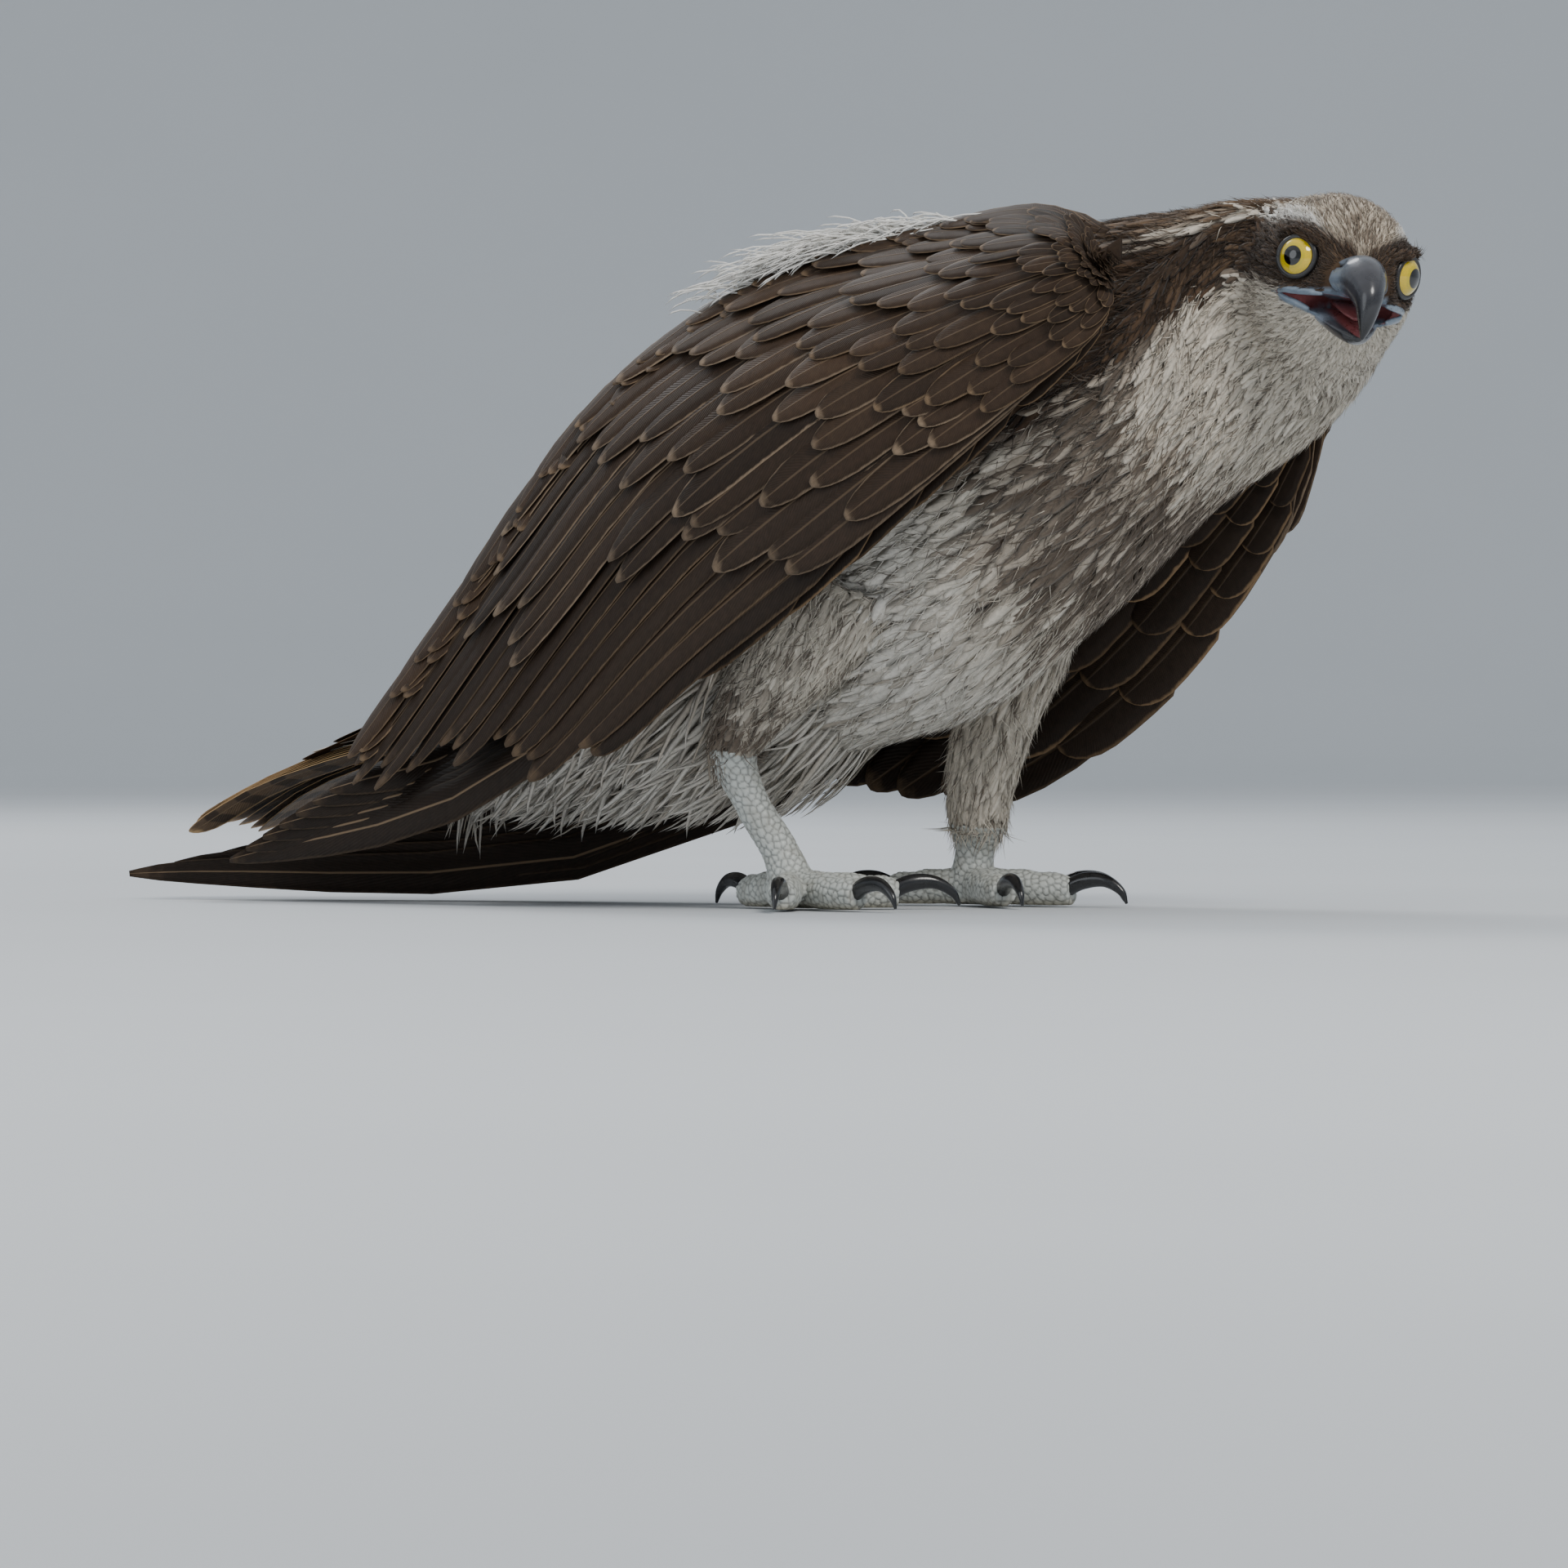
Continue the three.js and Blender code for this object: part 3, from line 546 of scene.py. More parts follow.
def body_markings(points, t, angle):
    """Edge colour, centre colour and how strong the centre is, for feathers of the head, neck and trunk."""
    k = t * LAST_BODY_KEY
    rise = np.degrees(np.arcsin(np.clip(np.sin(angle), -1, 1)))
    wander = ripple(points, 120, 3) * 5
    blotch = ripple(points, 260, 4)
    strength = np.full(len(points), 0.05)
    # Throat and foreneck: fine sparse streaks.
    strength = np.maximum(strength, 0.30 * smooth(k, 6.0, 6.8) * smooth(k, 10.5, 9.0) * smooth(rise, 10, -25))
    # Breast band.
    band = smooth(k + 0.5 * blotch, 4.6, 5.2) * smooth(k + 0.4 * blotch, 7.2, 6.5) * smooth(rise, 28, 6)
    strength = np.maximum(strength, band)
    edge = mixed(CREAM, BAND_EDGE, 0.34 * band)
    centre = mixed(BROWN, BAND_CENTRE, band)
    # Belly and flanks: faint smudges.
    belly = smooth(k, 5.0, 4.2) * smooth(rise, 25, 5)
    edge = mixed(edge, WHITE, 0.5 * belly)
    smudge = belly * smooth(blotch, 0.1, 0.9)
    strength = np.maximum(strength, 0.5 * smudge)
    edge = mixed(edge, BUFF * 0.8, 0.45 * smudge)
    # Crown and forehead.
    crown = smooth(k, 7.9, 8.7) * smooth(rise, 40, 56)
    edge = mixed(edge, BUFF * 1.15, 0.35 * crown)
    strength = np.maximum(strength, (0.6 + 0.35 * smooth(blotch, -0.4, 0.6)) * crown)
    # White band over the eye.
    over = smooth(k, 7.6, 8.4) * smooth(rise, 22, 30) * smooth(rise, 54, 44)
    edge = mixed(edge, WHITE, over)
    strength *= 1 - 0.8 * over
    # Hind neck: brown, buff and white mixed.
    nape = smooth(k, 5.2, 5.9) * smooth(k, 9.2, 8.0) * smooth(rise, 46, 62)
    edge = mixed(edge, TAN, np.clip(nape * (0.50 + 0.5 * blotch + 0.4 * smooth(k, 7.6, 6.4)), 0, 1))
    strength = np.maximum(strength, 0.85 * nape)
    # Mantle, back and rump.
    back = smooth(rise, 32, 44) * smooth(k + 0.4 * blotch, 6.9, 5.9)
    edge = mixed(edge, mixed(BROWN, TAN, 0.35 + 0.3 * blotch), back)
    centre = mixed(centre, DARK, back)
    strength = np.maximum(strength, 0.9 * back)
    # The dark stripe from the bill through the eye down the side of the neck.
    middle = np.interp(k, STRIPE_KEYS, STRIPE_MIDDLE)
    half = np.interp(k, STRIPE_KEYS, STRIPE_HALF)
    stripe = smooth(np.abs(rise + wander - middle), half + 4, half - 4) * smooth(k, 4.4, 5.2)
    # The same dark brown rings each eye and fills the way from it to the bill.
    for sign in (-1, 1):
        lore = spline([in_head(ahead, out * sign, up) for ahead, out, up in LORE], np.linspace(0, 1, 9))
        away = distance_to(lore, points) / MM
        stripe = np.maximum(stripe, smooth(away + wander * 0.15, 13.5, 10.0) * smooth(k, 8.5, 9.5))
    edge = mixed(edge, mixed(BROWN, TAN, 0.18 + 0.18 * blotch), stripe)
    centre = mixed(centre, DARK, stripe)
    strength = np.maximum(strength, 0.95 * stripe)
    return edge, centre, np.clip(strength, 0, 1)


def thigh_markings(points, region, t):
    """Cream feathers with brown shaft streaks, strongest low on the right thigh; the left one is paler."""
    blotch = ripple(points, 220, 8)
    right = region == 1
    edge = mixed(CREAM, TAN, np.where(right, 0.45 * smooth(t, 0.15, 0.42), 0.08))
    streaks = np.where(right, 0.35 + 0.6 * smooth(t, 0.1, 0.4), 0.12) + 0.25 * smooth(blotch, -0.3, 0.7)
    return edge, BROWN, np.clip(streaks, 0, 1)


# ---------------------------------------------------------------- one skin for the body
# The open mouth's cut in the head's frame: how far ahead, how high its middle is, and its sizes there.
CUT_AHEAD, CUT_MIDDLE = [8, 15, 24, 40], [-9.4, -10, -11.5, -14]
MOUTH_CUT = [head_key(*row) for row in zip(CUT_AHEAD, CUT_MIDDLE, (6, 21, 24, 26), (0.8, 1.5, 3.5, 6),
                                           (0.8, 1.8, 3.5, 6))]
SKIN_VOXEL, LEG_VOXEL = 1.7 * MM, 0.62 * MM
THIGH_DEPTH = 2.0 * MM
DEPTH_KEYS, COAT_DEPTH = [0, 6, 8, 9.5, 12, 13], [3.2, 3.2, 2.4, 1.8, 1.1, 0.5]


def flesh(name, parts, cut, voxel):
    """The lofts as one closed surface, with the cut taken out."""
    points, triangles, offset = [], [], 0
    for part_points, part_triangles, _ in parts:
        points.append(part_points)
        triangles.append(part_triangles + offset)
        offset += len(part_points)
    piece = make_mesh(name, np.vstack(points), np.vstack(triangles))
    if cut:
        tool = make_mesh(name + "_cut", cut[0], cut[1])
        taken = piece.modifiers.new("cut", "BOOLEAN")
        taken.operation, taken.solver, taken.object = "DIFFERENCE", "EXACT", tool
        taken.use_self = True
    whole = piece.modifiers.new("whole", "REMESH")
    whole.mode, whole.voxel_size = "VOXEL", voxel
    evaluated = piece.evaluated_get(bpy.context.evaluated_depsgraph_get())
    mesh = evaluated.to_mesh()
    mesh.calc_loop_triangles()
    made = np.zeros(len(mesh.vertices) * 3, np.float32)
    mesh.vertices.foreach_get("co", made)
    corners = np.zeros(len(mesh.loop_triangles) * 3, np.int32)
    mesh.loop_triangles.foreach_get("vertices", corners)
    evaluated.to_mesh_clear()
    for helper in ([piece, tool] if cut else [piece]):
        bpy.data.objects.remove(helper)
    return made.reshape(-1, 3).astype(float), corners.reshape(-1, 3)


def vertex_normals(points, triangles):
    corners = points[triangles]
    face = np.cross(corners[:, 1] - corners[:, 0], corners[:, 2] - corners[:, 0])
    normals = np.zeros_like(points)
    for corner in range(3):
        np.add.at(normals, triangles[:, corner], face)
    return unit(normals)


BODY_LOFT = lofted(BODY_KEYS, 104, 72)
THIGH_LOFTS = {side: lofted(keys, 40, 36, end=(ANKLE_KEY[side] + 0.25) / (len(keys) - 1))
               for side, keys in LEG_KEYS.items()}
BROWS = [
    lofted([ridge_key(24, sign * 11, 8.6, 2.2), ridge_key(17, sign * 18.9, 12.0, 3.3),
            ridge_key(8, sign * 23.2, 12.4, 2.9), ridge_key(-4, sign * 25, 9, 2.0)], 20, 20)
    for sign in (-1, 1)
]
skin_points, skin_triangles = flesh(
    "flesh", [BODY_LOFT, *BROWS, *THIGH_LOFTS.values()], lofted(MOUTH_CUT, 24, 36), SKIN_VOXEL)
guide_points = np.vstack([BODY_LOFT[0], *(loft[0] for loft in THIGH_LOFTS.values())])
guide_places = np.vstack([BODY_LOFT[2], *(loft[2] for loft in THIGH_LOFTS.values())])
guide_region = np.repeat([0, 1, 2], [len(BODY_LOFT[0]), *(len(loft[0]) for loft in THIGH_LOFTS.values())])
nearest = nearest_rows(guide_points, skin_points)
skin_region = guide_region[nearest]
skin_t, skin_angle = guide_places[nearest].T


def lengths_along(keys):
    """Metres along a loft's middle line at each of many t."""
    t = np.linspace(0, 1, 200)
    middle = ring_parts(keys, t)[0]
    return t, np.concatenate([[0], np.cumsum(np.linalg.norm(np.diff(middle, axis=0), axis=1))])


BODY_LENGTHS = lengths_along(BODY_KEYS)
LEG_LENGTHS = {side: lengths_along(keys) for side, keys in LEG_KEYS.items()}
REGION_LEG = {1: "right", 2: "left"}


def unwrap(region, t, angle):
    """Places on the skin's own unwrap: along each loft, and round it by a mean radius."""
    places = np.zeros((len(t), 2))
    for number in (0, 1, 2):
        rows = region == number
        at_t, length = BODY_LENGTHS if number == 0 else LEG_LENGTHS[REGION_LEG[number]]
        radius = 0.055 if number == 0 else 0.022
        round_about = np.mod(angle[rows], 2 * np.pi) * radius
        beside = 0.02 + (0, 0.36, 0.51)[number]
        places[rows] = np.stack([0.02 + np.interp(t[rows], at_t, length), beside + round_about], 1)
    return places * 1.6


def skin_depth(region, t):
    """How far the skin lies under the coat."""
    k = t * LAST_BODY_KEY
    return np.where(region > 0, THIGH_DEPTH, np.interp(k, DEPTH_KEYS, COAT_DEPTH) * MM)


def markings(points, region, t, angle):
    edge, centre, strength = body_markings(points, t, angle)
    rows = region > 0
    if rows.any():
        leg = thigh_markings(points[rows], region[rows], t[rows])
        edge[rows], centre[rows], strength[rows] = leg
    return edge, centre, strength


skin_normals = vertex_normals(skin_points, skin_triangles)
skin_points = skin_points - skin_normals * skin_depth(skin_region, skin_t)[:, None]


def head_place(points):
    """Forward, left and up in the head's own frame, in millimetres."""
    away = (points - in_head(0, 0, 0)) / MM
    return away @ HEAD_FORWARD, away @ HEAD_LEFT, away @ HEAD_UP


# A shallow socket round each eye, so that its lids stand clear.
for eye_place, eye_axis in EYES.values():
    away = (skin_points - eye_place) / MM
    high = away @ eye_axis
    wide = np.linalg.norm(away - high[:, None] * eye_axis, axis=1)
    limit = 3.4 + np.where(wide > 8, 0.22 * (wide - 8) ** 2, 0)
    limit = limit + 30 * smooth(head_place(skin_points)[2] - EYE_AT[2], 5.0, 7.5)
    sink = np.where((high > 0) & (wide < 15), np.maximum(high - limit, 0), 0)
    skin_points = skin_points - eye_axis * (sink * MM)[:, None]
skin_normals = vertex_normals(skin_points, skin_triangles)


def gape(points):
    """How far above or below the open mouth's cut a place is, in millimetres, negative within it."""
    ahead, _, upward = head_place(points)
    middle = np.interp(ahead, CUT_AHEAD, CUT_MIDDLE)
    half = np.interp(ahead, [6, *CUT_AHEAD], [-1, 0.8, 1.7, 3.5, 6])
    return np.where(ahead > 3, np.abs(upward - middle) - half, 9)


edge, centre, strength = markings(skin_points, skin_region, skin_t, skin_angle)
# The skin takes its feathers' markings, darkened by 0.92: painted shade under the coat.
skin_colour = mixed(edge, centre, 0.55 * strength) * 0.92
from_gape = np.where(skin_region == 0, gape(skin_points), 9)
skin_colour = mixed(skin_colour, np.array([0.17, 0.21, 0.26]), smooth(from_gape, 2.6, 1.9))
skin_colour = mixed(skin_colour, np.array([0.15, 0.042, 0.042]), smooth(from_gape, 0.7, 0.2))
SURFACE = BVHTree.FromPolygons(skin_points.tolist(), skin_triangles.tolist())
skin = dressed("skin", skin_points, skin_triangles, SKIN, "pale_plumage", skin_colour,
               OFBake=unwrap(skin_region, skin_t, skin_angle))

# ---------------------------------------------------------------- small feathers
BILL_ROOT = in_head(27, 0, -4)


def lie_of(points, normals, region, t):
    """The way feathers point: back from the bill on the head, along the trunk to the tail, down the legs."""
    step = 0.01
    way = np.zeros_like(points)
    for number in (0, 1, 2):
        rows = region == number
        if not rows.any():
            continue
        keys = BODY_KEYS if number == 0 else LEG_KEYS[REGION_LEG[number]]
        places = [k["place"] for k in keys]
        ahead, behind = np.minimum(t[rows] + step, 1), np.maximum(t[rows] - step, 0)
        run = unit(spline(places, ahead) - spline(places, behind))
        way[rows] = -run if number == 0 else run
    k = t * LAST_BODY_KEY
    face = np.where(region == 0, smooth(k, 7.5, 9.5), 0)[:, None]
    from_bill = unit(points - BILL_ROOT)
    way = way * (1 - face) + from_bill * face
    # On the belly and breast feathers also hang a little outward.
    way = way + np.where(region == 0, smooth(k, 6, 3), 0)[:, None] * np.array([0, 0, -0.18])
    way = way - normals * np.sum(way * normals, axis=1, keepdims=True)
    return unit(way)


def scattered(points, triangles, spacing, keep, seed, crowding=2.6):
    """Faces and weights of roots about the given spacing apart, where keep allows."""
    local = np.random.default_rng(seed)
    corners = points[triangles]
    area = np.linalg.norm(np.cross(corners[:, 1] - corners[:, 0], corners[:, 2] - corners[:, 0]), axis=1) / 2
    gap = spacing[triangles].mean(axis=1)
    weight = area / gap**2 * keep[triangles].mean(axis=1)
    count = int(weight.sum() * crowding)
    face = local.choice(len(triangles), count, p=weight / weight.sum())
    a, b = local.random((2, count))
    flip = a + b > 1
    a[flip], b[flip] = 1 - a[flip], 1 - b[flip]
    shares = np.stack([1 - a - b, a, b], 1)
    places = np.einsum("ij,ijk->ik", shares, corners[face])
    chosen = thinned(places, gap[face] * 0.82, range(count))
    return face[chosen], shares[chosen]


def on_surface(queries):
    """Nearest skin point and its outward normal for each query."""
    found = [SURFACE.find_nearest(query) for query in queries]
    return np.array([f[0] for f in found], float), np.array([f[1] for f in found], float)


class Roots:
    """Where small feathers grow, with all that is known of the skin there."""

    def __init__(self, spacing, keep, seed):
        face, shares = scattered(skin_points, skin_triangles, spacing, keep, seed)
        corner = skin_triangles[face]
        self.place = np.einsum("ij,ijk->ik", shares, skin_points[corner])
        self.normal = unit(np.einsum("ij,ijk->ik", shares, skin_normals[corner]))
        first = corner[np.arange(len(face)), shares.argmax(axis=1)]
        self.region, self.t, self.angle = skin_region[first], skin_t[first], skin_angle[first]
        self.lie = lie_of(self.place, self.normal, self.region, self.t)
        self.k = self.t * LAST_BODY_KEY

    def __len__(self):
        return len(self.place)

    def only(self, rows):
        part = object.__new__(Roots)
        for name, values in self.__dict__.items():
            setattr(part, name, values[rows])
        return part


def by_key(region, t, keys, sizes, thigh):
    return np.where(region > 0, thigh, np.interp(t * LAST_BODY_KEY, keys, sizes)) * MM


SIZE_KEYS = [0, 3, 5, 6.5, 8, 9.5, 11, 12, 13]
FEATHER_LENGTH = [28, 28, 25, 20, 15, 11, 7.0, 5.0, 4.0]
FEATHER_SPACING = [4.5, 4.3, 3.9, 3.2, 2.5, 2.0, 1.6, 1.35, 1.2]


def spindle(rows, corners):
    """Triangles of one closed feather: rings of corners, then a point at its tip."""
    triangles = [(0, corner + 1, corner) for corner in range(1, corners - 1)]
    for row in range(rows):
        for corner in range(corners):
            a, b = row * corners + corner, row * corners + (corner + 1) % corners
            triangles += ([(a, b, rows * corners)] if row == rows - 1
                          else [(a, b, b + corners), (a, b + corners, a + corners)])
    return np.array(triangles)


def swayed(roots, turn):
    """The lie of each root, turned a little to one side at random."""
    return unit(roots.lie + np.cross(roots.normal, roots.lie) * rng.normal(0, turn, (len(roots), 1)))


def feather_rows(roots, length, width, lift, edge, centre, strength):
    """Points, triangles, colours and unwrap places of one thin pointed feather per root."""
    lie = swayed(roots, 0.16)
    # A feather that would fold over a crease of the skin is short.
    tip_up = on_surface(roots.place + lie * length[:, None])[1]
    length = length * (0.35 + 0.65 * smooth(np.einsum("ij,ij->i", tip_up, roots.normal), 0.1, 0.7))
    points = np.zeros((len(roots), 17, 3))
    colours = np.zeros_like(points)
    thick = 0.22 * MM
    rims = 0.15 * strength + 0.5 * strength**3
    for row, (share, broad) in enumerate(((0.0, 0.35), (0.34, 0.95), (0.68, 1.0), (0.9, 0.55))):
        spot = roots.place + lie * (length * share)[:, None]
        ground, up = on_surface(spot) if share else (spot, roots.normal)
        middle = ground + up * (lift * (0.15 + 0.85 * share))[:, None]
        half = (width * broad / 2)[:, None]
        side = unit(np.cross(up, lie)) * half
        corners = (side - up * thick, up * (thick + half * 0.09), -side - up * thick, -up * thick * 2)
        # Painted shade: each feather's colour is darkened towards its root, where the feather before lies over
        # it, and on its underside.
        shade = 0.92 + 0.08 * share
        shares = (rims, strength * (1 - 0.25 * share), rims, strength * 0.5)
        for corner in range(4):
            points[:, row * 4 + corner] = middle + corners[corner]
            darker = 0.9 if corner == 3 else shade
            colours[:, row * 4 + corner] = mixed(edge, centre, shares[corner]) * darker
    spot, up = on_surface(roots.place + lie * length[:, None])
    points[:, 16] = spot + up * lift[:, None]
    colours[:, 16] = mixed(edge, centre, 0.2 * strength + 0.4 * strength**3)
    return closed_rows(roots, points, spindle(4, 4), colours)


def closed_rows(roots, points, triangles, colours):
    """Turns one pattern of triangles per root into whole arrays, outward facing."""
    count, size = points.shape[:2]
    tufts = np.arange(count)[:, None, None] * size
    places = unwrap(roots.region, roots.t, roots.angle)
    within = points - points.mean(axis=1, keepdims=True)
    reach = np.abs(within).max(axis=(1, 2), keepdims=True)
    across = np.cross(roots.normal, roots.lie)[:, None, :]
    local = np.stack([np.sum(within * roots.lie[:, None, :], axis=2), np.sum(within * across, axis=2)], 2)
    uv = places[:, None, :] + local / reach * 0.0014
    return (points.reshape(-1, 3), (triangles[None] + tufts).reshape(-1, 3), colours.reshape(-1, 3),
            uv.reshape(-1, 2))


def hair_rows(roots, length, thick, lift, colour):
    """Points, triangles, colours and unwrap places of one soft thread of down per root."""
    lie = swayed(roots, 0.35)
    side = np.cross(roots.normal, lie)
    points = np.zeros((len(roots), 7, 3))
    curl = rng.normal(0, 0.12, (len(roots), 1)) * length[:, None]
    for row, share in enumerate((0.0, 0.5)):
        middle = roots.place + lie * (length * share)[:, None] + roots.normal * (lift * share**0.7)[:, None]
        middle = middle + unit(side) * curl * share
        half = (thick * (1 - 0.35 * share))[:, None]
        for corner, way in enumerate((unit(side), -unit(side), roots.normal)):
            points[:, row * 3 + corner] = middle + way * half
    bend = lie * length[:, None] + side * curl * 2
    points[:, 6] = roots.place + bend + roots.normal * (lift * 0.9)[:, None]
    colours = np.repeat(colour[:, None, :], 7, axis=1)
    # The root of each thread is darkened: painted shade down among the feathers.
    colours[:, :3] *= 0.8
    return closed_rows(roots, points, spindle(2, 3)[:, ::-1], colours)


def loose_rows(roots, length, width, colour, rise):
    """Narrow feathers that stand free of the skin and bend down along their length."""
    points = np.zeros((len(roots), 17, 3))
    side = unit(np.cross(roots.normal, roots.lie))
    sway = side * rng.normal(0, 0.18, (len(roots), 1))
    for row, (share, broad) in enumerate(((0.0, 0.5), (0.3, 1.0), (0.6, 0.8), (0.85, 0.45))):
        middle = roots.place + (roots.lie + sway * share) * (length * share)[:, None]
        middle = middle + roots.normal * (rise * math.sin(share * 2.4))[:, None]
        half = side * (width * broad / 2)[:, None]
        for corner, way in enumerate((half, roots.normal * 0.35 * MM, -half, -roots.normal * 0.25 * MM)):
            points[:, row * 4 + corner] = middle + way
    points[:, 16] = roots.place + (roots.lie + sway) * length[:, None] + roots.normal * (rise * 0.6)[:, None]
    return closed_rows(roots, points, spindle(4, 4), np.repeat(colour[:, None, :], 17, axis=1))


def coat_piece(name, made):
    points, triangles, colours, uv = made
    dressed(name, points, triangles, PLUMAGE, "pale_plumage", np.clip(colours, 0, 1), OFBake=uv)


def zones(kind, spots):
    """The rows of spots in each part of the coat, by the name of its piece."""
    body = spots.region == 0
    return {f"{kind}_head": body & (spots.k >= 8), f"{kind}_neck": body & (spots.k >= 5.4) & (spots.k < 8),
            f"{kind}_body": body & (spots.k < 5.4), f"{kind}_thighs": ~body}


# No feathers on the eyes, under the bill's horn or inside the mouth.
bare = (head_place(skin_points)[0] > 27) | (from_gape < 2.2)
for eye_place, eye_axis in EYES.values():
    bare |= np.linalg.norm(skin_points - (eye_place + eye_axis * 4 * MM), axis=1) < 8.4 * MM
feather_spacing = by_key(skin_region, skin_t, SIZE_KEYS, FEATHER_SPACING, 3.2)
roots = Roots(feather_spacing, np.where(bare, 0.0, 1.0), 5)
vary = rng.normal(1, 0.12, len(roots))
length = by_key(roots.region, roots.t, SIZE_KEYS, FEATHER_LENGTH, 19.0) * np.clip(vary, 0.7, 1.35)
on_body = roots.region == 0
narrow = np.interp(roots.k, [0, 4.5, 6, 9, 13], [0.24, 0.23, 0.18, 0.17, 0.22])
narrow = np.where(on_body, narrow, 0.20)
on_back = on_body & (np.sin(roots.angle) > 0.5) & (roots.k < 6.5) & (roots.normal[:, 2] > 0.3)
narrow = np.where(on_back, 0.42, narrow)
depth = skin_depth(roots.region, roots.t)
edge, centre, strength = markings(roots.place, roots.region, roots.t, roots.angle)
tone = rng.normal(1, 0.07, (len(roots), 1))
# Some feathers of a streaked patch stay pale.
faint = (rng.random(len(roots)) < 0.3) & (strength < 0.97)
on_breast = on_body & (np.abs(roots.k - 5.8) < 1.4) & (roots.normal[:, 2] < 0.1)
faint |= (rng.random(len(roots)) < 0.35) & on_breast
strength = np.clip(strength * np.where(faint, 0.3, rng.uniform(0.8, 1.25, len(roots))), 0, 1)
lift = depth * rng.uniform(0.35, 0.85, len(roots))
# Feathers of the flank that would lie over the thigh are short and flat.
reach = nearest_rows(skin_points, roots.place + roots.lie * (length * 0.8)[:, None])
over_thigh = on_body & (skin_region[reach] > 0)
length = np.where(over_thigh, length * 0.5, length)
lift = np.where(over_thigh, lift * 0.45, lift)
width = length * narrow
for zone, rows in zones("feathers", roots).items():
    part = roots.only(rows)
    coat_piece(zone, feather_rows(part, length[rows], width[rows], lift[rows], edge[rows] * tone[rows],
                                  centre[rows] * tone[rows], strength[rows]))

# Threads of down between the feathers.
DOWN_LENGTH = [15, 15, 13, 10, 7.5, 5.5, 4.0, 3.2, 2.6]
DOWN_SPACING = [2.1, 2.1, 1.9, 1.5, 1.15, 0.95, 0.85, 0.8, 0.75]
down_spacing = by_key(skin_region, skin_t, SIZE_KEYS, DOWN_SPACING, 1.5)
shown = np.where(bare, 0.0, 1.0)
shown[(skin_region == 0) & (skin_t * LAST_BODY_KEY < 4.6) & (np.sin(skin_angle) > 0.1)] = 0.0
down = Roots(down_spacing, shown, 6)
down_length = by_key(down.region, down.t, SIZE_KEYS, DOWN_LENGTH, 12.0) * rng.uniform(0.6, 1.3, len(down))
down_depth = skin_depth(down.region, down.t)
edge, centre, strength = markings(down.place, down.region, down.t, down.angle)
streaked = rng.random(len(down)) < strength * 0.92
down_colour = np.where(streaked[:, None], mixed(edge, centre, np.full(len(down), 0.75)), edge)
down_colour = down_colour * rng.normal(1, 0.1, (len(down), 1))
down_thick = np.where(down.region > 0, 0.24, np.interp(down.k, [0, 6, 9, 13], [0.26, 0.24, 0.17, 0.13])) * MM
down_lift = down_depth * rng.uniform(0.7, 1.25, len(down))
for zone, rows in zones("down", down).items():
    coat_piece(zone, hair_rows(down.only(rows), down_length[rows], down_thick[rows], down_lift[rows],
                               down_colour[rows]))

# Long loose feathers under the tail.
vent_here = (skin_region == 0) & (skin_t * LAST_BODY_KEY < 3.4) & (np.sin(skin_angle) < -0.1)
vent = Roots(np.full(len(skin_points), 3.0 * MM), np.where(vent_here, 1.0, 0.0), 9)
vent.lie = unit(vent.lie + np.array([0, 0, -0.32]) + 0.25 * vent.normal)
edge, centre, strength = markings(vent.place, vent.region, vent.t, vent.angle)
vent_length = rng.uniform(24, 42, len(vent)) * MM
vent_colour = mixed(edge, TAN, rng.uniform(0, 0.25, len(vent))) * rng.normal(1, 0.06, (len(vent), 1))
coat_piece("vent_feathers", loose_rows(vent, vent_length, vent_length * 0.07, vent_colour,
                                       rng.uniform(1.5, 5, len(vent)) * MM))
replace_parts(skin, "torso", "neck", "head", "thigh_right", "thigh_left")

# ---------------------------------------------------------------- large feathers
ALONG = 12
ACROSS = 5
# Places along a blade, closer together where its tip is rounded.
BLADE = np.array([0, 0.1, 0.24, 0.4, 0.56, 0.7, 0.8, 0.88, 0.935, 0.97, 0.99, 1.0])


